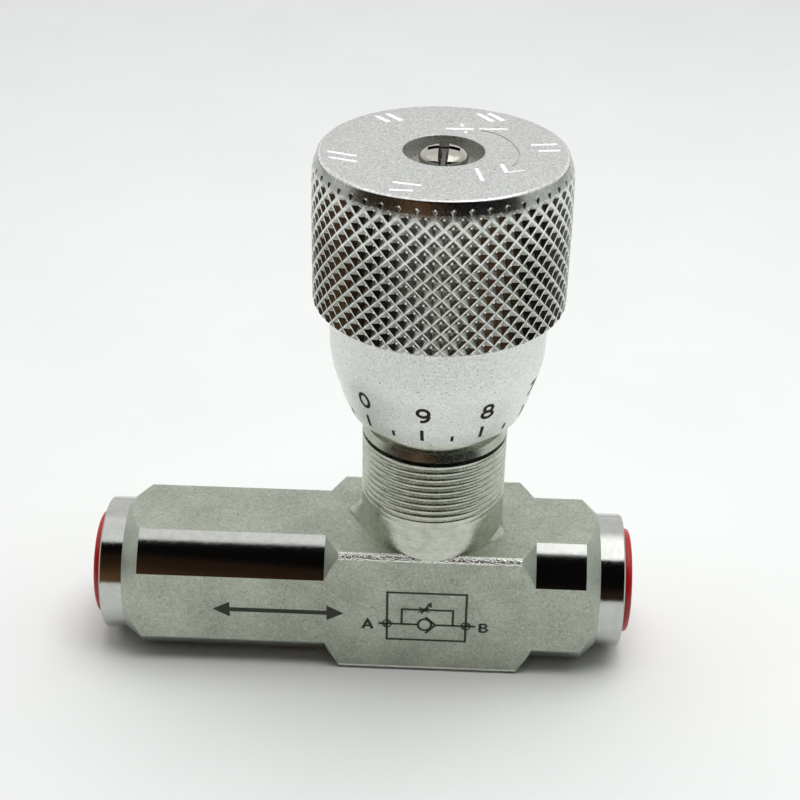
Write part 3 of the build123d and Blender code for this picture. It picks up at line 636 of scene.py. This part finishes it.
# the knob's outline from the skirt's bottom edge, up and over the top, and down the bore
OUTLINE = [
    (I_INNER, [(9.0, KNOB_FOOT)]),
    (I_SKIRT, [(11.35, KNOB_FOOT), (11.5, 39.12), (11.68, 39.22), (11.76, 39.38)] + skirt),
    (I_SKIRT, [(14.3, 54.3), (14.45, 54.5)]),
    # the step under the knurl takes the darker band material, a painted dark reflection
    (I_BAND_PAINTED_REFLECTION, [(14.73, 54.5), (14.75, 54.6), (14.75, 54.9), (16.0, 54.9), (16.46, 55.35), (16.49, 55.45)]),
    (I_KNURL, [(16.49, 66.5), (16.45, 68.5), (16.42, 70.5), (16.385, 72.0), (16.34, 72.9)]),
    # the chamfer under the rim takes the darker band material, a painted dark reflection
    (I_BAND_PAINTED_REFLECTION, [(16.2, 73.6), (15.88, 74.5), (15.77, 74.82)]),
    # the rounded rim takes the pale rim material, a painted highlight
    (I_RIM_HIGHLIGHT, [(15.71, 74.98), (15.6, 75.12), (15.46, 75.21)]),
    (I_FACE, [(15.3, KNOB_TOP), (10.0, KNOB_TOP), (5.22, KNOB_TOP), (5.13, 75.2)]),
    (I_RECESS, [(5.1, 75.1)]),
    (I_FACE, [(5.1, RECESS_FLOOR)]),
    (I_INNER, [(1.6, RECESS_FLOOR), (1.6, 69.5), (1.6, 60.0), (9.0, 60.0)]),
]
outer = [point for _, points in OUTLINE for point in points]
kinds = [slot for slot, points in OUTLINE for _ in points]
knob = turned("knob_visual", outer, KNOB, kinds, n=220, closed=True)


def knurled_bar():
    """Tall bar with a female diamond knurl: raised ridges crossing at 45 degrees round sunken pyramids."""
    verts, faces, slots, at = [], [], [], {}

    def point(u, v, r):
        """u counts half diamonds round the bar, v half diamonds up it."""
        key = (round(u % (2 * AROUND), 4), round(v, 4), round(r, 4))
        if key not in at:
            a = KNURL_START + u * math.pi / AROUND
            at[key] = len(verts)
            verts.append((r * math.cos(a), r * math.sin(a), KNURL_BASE + v * ROW))
        return at[key]

    rows = 42
    wide, thin = 0.075, 0.038
    for v in range(rows):
        for u in range(v % 2, 2 * AROUND, 2):
            left, right, low, high = (u - 1, v), (u + 1, v), (u, v - 1), (u, v + 1)
            jitter = 1.0 + 0.10 * (rng.random() - 0.5)
            # the two wheels cut differently: one family of ridges is left wider
            frame_in = [
                (u, v - 1 + wide + thin), (u + 1 - wide - thin, v),
                (u, v + 1 - wide - thin), (u - 1 + wide + thin, v),
            ]
            skew = (wide - thin) / 2
            sides = ((1, -1), (1, 1), (-1, 1), (-1, -1))
            frame_in = [(a - skew * s, b + skew * t) for (a, b), (s, t) in zip(frame_in, sides)]
            corners = [low, right, high, left]
            outer_ids = [point(a, b, KNURL_R) for a, b in corners]
            inner_ids = [point(a, b, KNURL_R - 0.01) for a, b in frame_in]
            shrink = 0.16
            floor = [(u + (a - u) * shrink, v + (b - v) * shrink) for a, b in frame_in]
            mid = [(u + (a - u) * 0.58, v + (b - v) * 0.58) for a, b in frame_in]
            mid_ids = [point(a, b, KNURL_R - PIT * 0.52 * jitter) for a, b in mid]
            floor_ids = [point(a, b, KNURL_R - PIT * jitter) for a, b in floor]
            for k in range(4):
                m = (k + 1) % 4
                faces.append((outer_ids[k], outer_ids[m], inner_ids[m], inner_ids[k]))
                faces.append((inner_ids[k], inner_ids[m], mid_ids[m], mid_ids[k]))
                faces.append((mid_ids[k], mid_ids[m], floor_ids[m], floor_ids[k]))
                # ridge tops keep the knurl material; pit walls take the darker material, painted shade
                slots += [I_KNURL, I_WALL_SHADED, I_WALL_SHADED]
            faces.append(tuple(floor_ids))
            slots.append(I_FLOOR)
    # close the zigzag ends
    for v, z in ((-1, 28.0), (rows, KNURL_BASE + (rows + 1.0) * ROW)):
        middle = len(verts)
        verts.append((0, 0, z))
        for k in range(2 * AROUND):
            a = (k, v if (k + v) % 2 else v + (1 if v < 0 else -1))
            b = (k + 1, v if (k + 1 + v) % 2 else v + (1 if v < 0 else -1))
            faces.append((middle, point(*a, KNURL_R), point(*b, KNURL_R)))
            slots.append(I_KNURL)
    return make("knurl", verts, faces, KNOB, slots)


knob = combine(knob, knurled_bar(), "INTERSECT")


# ---------------------------------------------------------------- marks
def stroke(points, width):
    """Flat ribbon along points (u, v): two sides with mitred corners, split finely enough to wrap."""
    fine = []
    for a, b in zip(points, points[1:]):
        steps = max(1, int(math.dist(a, b) / 0.35))
        fine += [(a[0] + (b[0] - a[0]) * k / steps, a[1] + (b[1] - a[1]) * k / steps) for k in range(steps)]
    closed = math.dist(points[0], points[-1]) < 1e-6
    if not closed:
        fine.append(points[-1])
    p = np.array(fine, float)
    n = len(p)
    left, right = [], []
    for i in range(n):
        before = p[i] - p[i - 1] if i or closed else p[1] - p[0]
        after = p[(i + 1) % n] - p[i] if i < n - 1 or closed else before
        before, after = before / np.linalg.norm(before), after / np.linalg.norm(after)
        across = np.array([-(before + after)[1], (before + after)[0]])
        size = np.linalg.norm(across)
        across = across / size if size > 1e-6 else np.array([-before[1], before[0]])
        spread = 0.5 * width / max(0.55, abs(float(np.dot(across, [-before[1], before[0]]))))
        left.append(p[i] + across * spread)
        right.append(p[i] - across * spread)
    return np.array(left), np.array(right), closed


def ribbon_solid(strokes, place, high, low):
    """Closed thin solids from strokes of (points, width).
    place(u, v, h) gives a point h above the surface."""
    verts, faces = [], []
    for points, width in strokes:
        left, right, closed = stroke(points, width)
        n, base = len(left), len(verts)
        for side in (left, right):
            for h in (high, low):
                verts += [place(u, v, h) for u, v in side]
        lt, lb, rt, rb = base, base + n, base + 2 * n, base + 3 * n
        for i in range(n if closed else n - 1):
            k = (i + 1) % n
            faces += [(lt + i, rt + i, rt + k, lt + k), (lb + i, lb + k, rb + k, rb + i),
                      (lt + i, lt + k, lb + k, lb + i), (rt + i, rb + i, rb + k, rt + k)]
        if not closed:
            e = n - 1
            faces += [(lt, lb, rb, rt), (lt + e, rt + e, rb + e, lb + e)]
    return verts, faces


def plate_solid(outline, place, high, low):
    """Closed thin solid from a convex outline."""
    n = len(outline)
    verts = [place(u, v, high) for u, v in outline] + [place(u, v, low) for u, v in outline]
    faces = [tuple(range(n)), tuple(range(2 * n - 1, n - 1, -1))]
    faces += [(i, n + i, n + (i + 1) % n, (i + 1) % n) for i in range(n)]
    return verts, faces


def join(parts):
    verts, faces = [], []
    for v, f in parts:
        base = len(verts)
        verts += list(v)
        faces += [tuple(i + base for i in face) for face in f]
    return verts, faces


def curve(cx, cy, rx, ry, start, end, steps=14):
    a = np.radians(np.linspace(start, end, steps + 1))
    return [(cx + rx * math.cos(x), cy + ry * math.sin(x)) for x in a]


def loop(cx, cy, rx, ry, steps=20):
    points = curve(cx, cy, rx, ry, 0, 360, steps)
    points[-1] = points[0]
    return points


# plain digits in a cell 1 wide and 1 high, centred on 0
DIGITS = {
    "0": [loop(0, 0, 0.44, 0.5)],
    "1": [[(-0.26, 0.26), (0.04, 0.5), (0.04, -0.5)]],
    "2": [curve(0, 0.2, 0.40, 0.30, 165, -35, 10) + [(-0.42, -0.5), (0.44, -0.5)]],
    "3": [curve(-0.02, 0.25, 0.38, 0.25, 150, -90, 10), curve(-0.02, -0.25, 0.42, 0.25, 90, -150, 10)],
    "4": [[(0.18, -0.5), (0.18, 0.5), (-0.44, -0.18), (0.46, -0.18)]],
    "5": [[(0.38, 0.5), (-0.30, 0.5), (-0.36, 0.06)] + curve(0, -0.18, 0.42, 0.32, 140, -140, 12)],
    "6": [curve(0.1, 0.0, 0.52, 0.5, 75, 180, 8), loop(0, -0.2, 0.42, 0.3)],
    "7": [[(-0.42, 0.5), (0.42, 0.5), (-0.12, -0.5)]],
    "8": [loop(0, 0.25, 0.34, 0.25), loop(0, -0.24, 0.42, 0.26)],
    "9": [curve(-0.1, 0.0, 0.52, 0.5, -105, 0, 8), loop(0, 0.2, 0.42, 0.3)],
}
ZERO_AT = -133.3


def on_skirt(angle):
    """Places (u, v) mm on the skirt round an angle in degrees, u running the way the digits read."""
    def place(u, v, h):
        r = skirt_radius(v)
        a = math.radians(angle) + u / r
        return ((r + h) * math.cos(a), (r + h) * math.sin(a), v)
    return place


parts, lift, sink = [], 0.02, -0.06
for n in range(10):
    angle = ZERO_AT - 36.0 * n
    parts.append(ribbon_solid([([(0, 40.25), (0, 42.2)], 0.46)], on_skirt(angle), lift, sink))
    parts.append(ribbon_solid([([(0, 40.25), (0, 41.2)], 0.40)], on_skirt(angle + 18.0), lift, sink))
    drawn = []
    for points in DIGITS[str(n)]:
        drawn.append(([(u * 1.75, 44.82 + v * 2.12) for u, v in points], 0.46))
    parts.append(ribbon_solid(drawn, on_skirt(angle + 1.0), lift, sink))
verts, faces = join(parts)
dial = make("dial_marks", verts, faces, [ink("dial_ink", (0.012, 0.012, 0.012))])
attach(dial, "knob_and_spindle")


# marks cut into the knob's face: open and close signs, an arrow between them, plain bars round the rim
def on_face(u, v, h):
    return (u, v, KNOB_TOP + h)


def flat_line(*points, width=0.5):
    return [(list(points), width)]


FACE_MARKS = flat_line((0.15, 7.53), (3.73, 7.65), width=0.95)
FACE_MARKS += flat_line((2.06, 9.7), (2.34, 8.3), width=0.42)
FACE_MARKS += flat_line((2.56, 6.95), (2.8, 6.0), width=0.42)
FACE_MARKS += flat_line((4.4, 7.74), (8.08, 8.0), width=0.8)
FACE_MARKS += flat_line((3.95, -5.14), (4.77, -9.3), width=0.55)
FACE_MARKS += flat_line((7.05, -3.6), (7.62, -6.35), (9.9, -5.5), width=0.6)
RIM_BARS = [
    (-7.7, 12.4, -5.5, 9.8), (-9.0, 11.4, -7.1, 9.2), (4.2, 13.3, 6.3, 10.4), (5.6, 13.6, 7.7, 10.8),
    (-14.3, -1.3, -10.6, -2.6), (-13.9, -3.2, -10.4, -4.4), (-5.9, -10.3, -2.5, -11.1),
    (-6.2, -12.6, -3.4, -12.7), (10.8, 2.72, 14.2, 3.3), (11.7, 0.85, 14.4, 1.2),
]
for x0, y0, x1, y1 in RIM_BARS:
    FACE_MARKS += flat_line((x0, y0), (x1, y1), width=0.9)
SWEEP = flat_line((4.6, 7.0), (6.1, 6.4), (7.4, 5.1), (8.48, 3.03), (9.17, 0.75), (9.36, -1.2),
                  (8.94, -3.48), (8.3, -4.6), width=0.2)
# the cut marks take the near-white material, a painted highlight; the sweep line takes the darker pit-wall
# material
for lines, depth, slot in ((FACE_MARKS, 0.13, I_MARK_HIGHLIGHT), (SWEEP, 0.08, I_WALL_SHADED)):
    verts, faces = ribbon_solid(lines, on_face, 0.3, -depth)
    knob = combine(knob, make("face_marks", verts, faces, KNOB, [slot] * len(faces)), "DIFFERENCE")
soften(knob, 26.0)
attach(knob, "knob_and_spindle")
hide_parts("knob")


# etched symbol on the front flat: throttle and check valve in a box, port letters, flow arrow
def on_front(u, v, h):
    return (u, -HALF - h, v)


W = 0.33
BOX_X, BOX_Z, BOX_HALF_WIDTH, BOX_HALF_HEIGHT = -0.28, 9.8, 5.52, 4.12
box_left, box_right = BOX_X - BOX_HALF_WIDTH, BOX_X + BOX_HALF_WIDTH
box_low, box_high = BOX_Z - BOX_HALF_HEIGHT, BOX_Z + BOX_HALF_HEIGHT
line_z = 8.42
frame_line = [(box_left, box_high), (box_right, box_high), (box_right, box_low), (box_left, box_low)]
symbol = [(frame_line + frame_line[:1], W)]
symbol.append(([(-7.0, line_z), (-1.45, line_z)], W))
symbol.append(([(0.97, line_z), (6.6, line_z)], W))
symbol.append(([(-3.74, line_z), (-3.74, 11.06), (3.42, 11.06), (3.42, line_z)], W))
symbol.append((loop(-0.52, line_z, 0.94, 0.98), W))
symbol.append(([(-0.43, line_z + 1.36), (0.97, line_z), (-0.38, line_z - 1.5)], W))
for x in (box_left, box_right):
    symbol.append((loop(x, line_z, 0.62, 0.62, 16), 0.2))
    symbol.append(([(x - 0.42, line_z - 0.42), (x + 0.42, line_z + 0.42)], 0.2))
symbol.append((curve(-0.66, 9.6, 1.2, 1.28, 128, 52, 8), 0.18))
symbol.append((curve(-0.66, 12.5, 1.2, 1.28, -128, -52, 8), 0.18))
symbol.append(([(-1.05, 10.35), (0.02, 11.95)], 0.26))
# port letters
ax, bx, lz = -8.52, 7.75, 8.2
symbol.append(([(ax - 0.68, lz - 0.8), (ax, lz + 0.8), (ax + 0.68, lz - 0.8)], 0.42))
symbol.append(([(ax - 0.4, lz - 0.28), (ax + 0.4, lz - 0.28)], 0.34))
symbol.append(([(bx - 0.5, lz - 0.75), (bx - 0.5, lz + 0.75)], 0.4))
UPPER_BOWL = [(-0.5, 0.68), (0.2, 0.68), (0.44, 0.36), (0.2, 0.04), (-0.5, 0.04)]
LOWER_BOWL = [(0.15, 0.04), (0.58, -0.34), (0.2, -0.7), (-0.5, -0.7)]
for bowl in (UPPER_BOWL, LOWER_BOWL):
    symbol.append(([(bx + u, lz + v) for u, v in bowl], 0.3))
ARROW_Z, ARROW_TIPS = 9.9, ((-30.3, -1), (-11.9, 1))
flow = [([(-28.2, ARROW_Z), (-14.0, ARROW_Z)], 0.7)]
parts = [ribbon_solid(symbol, on_front, 0.012, -0.05), ribbon_solid(flow, on_front, 0.012, -0.05)]
heads = [[(0.36, 12.5), (-0.34, 11.9), (0.46, 11.45)]]
heads += [[(tip, ARROW_Z), (tip - side * 2.4, 11.2), (tip - side * 2.4, 8.6)] for tip, side in ARROW_TIPS]
parts += [plate_solid(head, on_front, 0.013, -0.05) for head in heads]
verts, faces = join(parts)
etched = make("etched_marks", verts, faces, [ink("etched_grey", (0.045, 0.048, 0.038))])
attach(etched, "valve_housing")


# ---------------------------------------------------------------- knob screw
# second material: dark steel lining the cross recess, painted shade
SCREW = [nickel("nickel_screw"), ground_steel("screw_recess_painted_shade", (0.16, 0.15, 0.135), (0.2, 0.4))]
head = [(0.0, 61.0), (1.1, 61.0), (1.5, 61.4)]
z = 61.8
while z < 72.2:
    head += [(1.5, z), (1.22, z + 0.22), (1.22, z + 0.28), (1.5, z + 0.5)]
    z += 0.5
head += [(1.5, 73.0), (2.95, 73.0), (3.06, 73.08), (3.1, 73.2), (3.1, 74.45)]
head += [(3.1 * math.cos(a), 74.45 + 1.24 * math.sin(a)) for a in np.radians(np.linspace(8, 84, 14))]
head += [(0.0, 75.69)]
screw = turned("knob_screw_visual", head, SCREW, 0, n=96)
for reach_top, reach_low, half_width, turn in ((3.6, 3.0, 0.66, True), (2.1, 0.8, 0.52, False)):
    # tapered blade of the cross recess, wide at the top
    half = [(reach_top, 76.2), (reach_top * 0.95, 75.2), (reach_low, 74.3), (reach_low * 0.6, 74.05)]
    width = [half_width, half_width * 0.94, half_width * 0.72, half_width * 0.4]
    blade = []
    for (reach, z), w in zip(half, width):
        blade += [(-reach, -w, z), (reach, -w, z), (reach, w, z), (-reach, w, z)]
    quads = [(0, 1, 2, 3), (15, 14, 13, 12)]
    for i in range(3):
        for j in range(4):
            a, b = i * 4 + j, i * 4 + (j + 1) % 4
            quads.append((a, a + 4, b + 4, b))
    if turn:
        blade = [(-y, x, z) for x, y, z in blade]
    # the recess faces take the dark second material, painted shade
    screw = combine(screw, make("blade", blade, quads, SCREW, [1] * len(quads)), "DIFFERENCE")
screw.data.transform(Matrix.Rotation(math.radians(-2.0), 4, "Z"))
edge = screw.modifiers.new("edges", "BEVEL")
edge.width, edge.segments, edge.limit_method, edge.angle_limit = 0.00014, 3, "ANGLE", math.radians(38)
edge.use_clamp_overlap = True
soften(screw, 50.0)
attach(screw, "knob_and_spindle")
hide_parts("knob_screw")


# ---------------------------------------------------------------- port caps
RED = red_plastic("red_cap")
for node, end, out, rider in (("port_cap_a", A_END, -1, "cap_a"), ("port_cap_b", B_END, 1, "cap_b")):
    # (radius, place outwards from the collar's face): plug, flange, then the hollow
    line = [(0.0, -2.8), (6.2, -2.8), (6.5, -2.68), (6.6, -2.4), (6.6, -0.05), (6.7, 0.0)]
    line += [(7.1, 0.0), (7.3, 0.05), (7.38, 0.18), (7.4, 0.5), (7.38, 0.9), (7.26, 1.1), (7.05, 1.2)]
    line += [(5.9, 1.2), (5.7, 1.14), (5.6, 0.98), (5.6, -1.85), (5.5, -2.02), (5.3, -2.1)]
    line += [(1.1, -2.1), (0.9, -2.18), (0.0, -2.2)]
    profile = [(r, end + out * place) for r, place in line]
    cap = turned(node + "_visual", profile, [RED], 0, axis="x", n=128, centre=(0.0, FLOW_Z))
    soften(cap, 40.0)
    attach(cap, rider)
    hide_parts(node)


# ---------------------------------------------------------------- check spring
wire, coil, coils, stations, around = 0.4, 3.2, 6.0, 260, 10
start, stop = -28.56, -18.34
last = stations - 1
path = []
for k in range(stations):
    t = k / last
    a = 2 * math.pi * coils * t
    x = start + (stop - start) * (t - 0.02 * math.sin(4 * math.pi * t))
    path.append(Vector((x, coil * math.cos(a), FLOW_Z + coil * math.sin(a))))
verts = []
for k, p in enumerate(path):
    along = (path[min(k + 1, last)] - path[max(k - 1, 0)]).normalized()
    side = along.cross(Vector((1, 0, 0))).normalized()
    up = side.cross(along)
    for j in range(around):
        a = 2 * math.pi * j / around
        verts.append(p + side * wire * math.cos(a) + up * wire * math.sin(a))
faces, _ = rings_to_faces(stations, around, False)
faces += [tuple(range(around)), tuple(range(last * around, stations * around))]
SPRING = ground_steel("spring_wire", (0.46, 0.47, 0.48))
spring = make("check_spring_visual", [tuple(v) for v in verts], faces, [SPRING])
soften(spring, 50.0)
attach(spring, "valve_housing")
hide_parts("check_spring")
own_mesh(spring)


# ---------------------------------------------------------------- inner pieces keep their CAD shapes
HARD = ground_steel("hardened_steel", (0.60, 0.60, 0.59))
SPRUNG = ground_steel("sprung_steel", (0.34, 0.35, 0.36), (0.22, 0.36))
ZINC = satin_steel("zinc_gland", (0.52, 0.54, 0.49), rough=(0.26, 0.4), grain=0.15)
NBR = rubber("nitrile_rubber", (0.022, 0.022, 0.023), 0.5)
PTFE = rubber("white_ptfe", (0.80, 0.80, 0.77), 0.38)
LOOKS = {
    "check_seat": (HARD, "hardened_steel"), "check_poppet": (HARD, "hardened_steel"),
    "spring_retainer": (HARD, "hardened_steel"), "needle_seat": (HARD, "hardened_steel"),
    "throttle_needle": (HARD, "hardened_steel"), "anti_rotation_pin": (HARD, "hardened_steel"),
    "spindle": (HARD, "hardened_steel"), "retaining_ring": (SPRUNG, "spring_steel"),
    "needle_clip": (SPRUNG, "spring_steel"), "gland_nut": (ZINC, "zinc_plated_steel"),
    "needle_oring": (NBR, "black_rubber"), "gland_oring": (NBR, "black_rubber"),
    "knob_friction_ring": (NBR, "black_rubber"), "needle_backup_ring": (PTFE, "white_ptfe"),
}
for node, (mat, slot_name) in LOOKS.items():
    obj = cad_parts[node]
    obj.data.materials.clear()
    obj.data.materials.append(mat)


# ---------------------------------------------------------------- studio
def floor_material():
    s = Shade("studio_floor", 0.0, 0.25)
    dark, pale = (0.785, 0.80, 0.79), (0.81, 0.825, 0.815)
    s.put("Base Color", s.ramp(s.noise(40.0, 3, 0.5), (0.3, dark), (0.7, pale)))
    s.put("Roughness", 0.6)
    return s.mat


FLOOR_HALF, FLOOR_Z = 900, -0.02
corners = [(FLOOR_HALF * x, FLOOR_HALF * y, FLOOR_Z) for x, y in ((-1, -1), (1, -1), (1, 1), (-1, 1))]
floor = make("studio_floor", corners, [(0, 1, 2, 3)], [floor_material()])


def area(name, where, target, size, power):
    data = bpy.data.lights.new(name, "AREA")
    data.shape, data.size, data.size_y = "RECTANGLE", size[0] * MM, size[1] * MM
    data.energy = power
    obj = bpy.data.objects.new(name, data)
    obj.location = Vector(where) * MM
    obj.rotation_mode = "QUATERNION"
    obj.rotation_quaternion = (Vector(target) * MM - obj.location).to_track_quat("-Z", "Y")
    bpy.context.scene.collection.objects.link(obj)
    return obj


key = area("key", (40, 15, 430), (0, 0, 20), (310, 310), 1.0)
key.visible_glossy = False

world = bpy.data.worlds.new("studio")
bpy.context.scene.world = world
world.use_nodes = True
tree = world.node_tree
tree.nodes.clear()
out = tree.nodes.new("ShaderNodeOutputWorld")
sky = tree.nodes.new("ShaderNodeBackground")
tree.links.new(sky.outputs[0], out.inputs[0])
coord = tree.nodes.new("ShaderNodeTexCoord").outputs["Generated"]
split = tree.nodes.new("ShaderNodeSeparateXYZ")
tree.links.new(coord, split.inputs[0])
to_b, to_back, up = split.outputs


def wmath(op, a, b=0.0):
    node = tree.nodes.new("ShaderNodeMath")
    node.operation = op
    for socket, value in zip(node.inputs, (a, b)):
        if isinstance(value, (int, float)):
            socket.default_value = value
        else:
            tree.links.new(value, socket)
    return node.outputs[0]


def wramp(value, *stops):
    node = tree.nodes.new("ShaderNodeValToRGB")
    points = node.color_ramp.elements
    while len(points) < len(stops):
        points.new(0.5)
    for point, (at, colour) in zip(points, stops):
        point.position = at
        point.color = (*colour, 1.0) if hasattr(colour, "__len__") else (colour, colour, colour, 1.0)
    tree.links.new(value, node.inputs[0])
    return node.outputs[0]


to_front = wmath("MULTIPLY", to_back, -1.0)
# angle up from the front horizon, over the top and down to the back: 0 front, 0.5 overhead, 1 back
climb = wmath("DIVIDE", wmath("ARCTAN2", up, to_front), math.pi)
front = wramp(climb, (0.0, 0.004), (0.380, 0.003), (0.397, 1.18), (0.62, 1.18), (0.70, 0.84), (1.0, 0.84))
# the light overhead is stronger towards port B
tilt = wramp(wmath("ADD", to_b, 0.5), (0.2, 0.85), (0.45, 0.9), (0.62, 1.6), (0.8, 1.5))
above = wramp(climb, (0.38, 0.0), (0.40, 1.0), (0.6, 1.0), (0.7, 0.0))
# warm brown of the room low in the dark part, reaching higher towards port A
shifted = wmath("ADD", climb, wmath("MULTIPLY", wmath("ADD", to_b, 0.14), 0.56))
brown = wramp(shifted, (0.0, (0.13, 0.065, 0.03)), (0.09, (0.06, 0.030, 0.013)),
              (0.15, (0.026, 0.0125, 0.006)), (0.225, (0.022, 0.011, 0.006)), (0.24, 0.0))


def wmix(kind, fac, a, b):
    node = tree.nodes.new("ShaderNodeMix")
    node.data_type, node.blend_type = "RGBA", kind
    for socket, value in ((node.inputs[0], fac), (node.inputs[6], a), (node.inputs[7], b)):
        if isinstance(value, (int, float)):
            socket.default_value = value
        elif isinstance(value, tuple):
            socket.default_value = (*value, 1.0)
        else:
            tree.links.new(value, socket)
    return node.outputs[2]


lit = wmix("MULTIPLY", above, front, tilt)
# the dark part faces the marked flat; the sides of the studio are pale
sideways = wmath("ADD", wmath("MULTIPLY", to_b, 0.5), 0.5)
spread_high = wramp(sideways, (0.05, 1.0), (0.19, 0.0), (0.74, 0.0), (0.87, 1.0))
# near the horizon it goes by the bearing: 0.5 is the front, 0.25 port A's side, 0.75 port B's side
bearing = wmath("ARCTAN2", to_b, to_front)
bearing = wmath("ADD", wmath("MULTIPLY", bearing, 0.5 / math.pi), 0.5)
spread_low = wramp(bearing, (0.15, 0.0), (0.2, 1.0), (0.25, 1.0), (0.285, 0.0),
                   (0.69, 0.0), (0.715, 1.0), (0.8, 1.0), (0.85, 0.0))
height = wramp(up, (0.5, 0.0), (0.7, 1.0))
spread = wmix("MIX", height, spread_low, spread_high)
middle = wramp(wmath("ABSOLUTE", to_b), (0.4, 1.0), (0.65, 0.2))
low = wmix("ADD", middle, lit, brown)
total = wmix("MIX", spread, low, (0.66, 0.69, 0.66))
tree.links.new(total, sky.inputs["Color"])
sky.inputs["Strength"].default_value = 1.0

bpy.context.scene.view_settings.view_transform = "Standard"

# ---------------------------------------------------------------- camera
cam_data = bpy.data.cameras.new("camera")
cam_data.sensor_width, cam_data.lens = 36.0, 69.62
cam_data.clip_start, cam_data.clip_end = 0.01, 10.0
cam = bpy.data.objects.new("camera", cam_data)
bpy.context.scene.collection.objects.link(cam)
cam.location = Vector((0.519, -180.01, 146.99)) * MM
cam.rotation_euler = [math.radians(a) for a in (59.054, -0.925, 2.262)]
bpy.context.scene.camera = cam
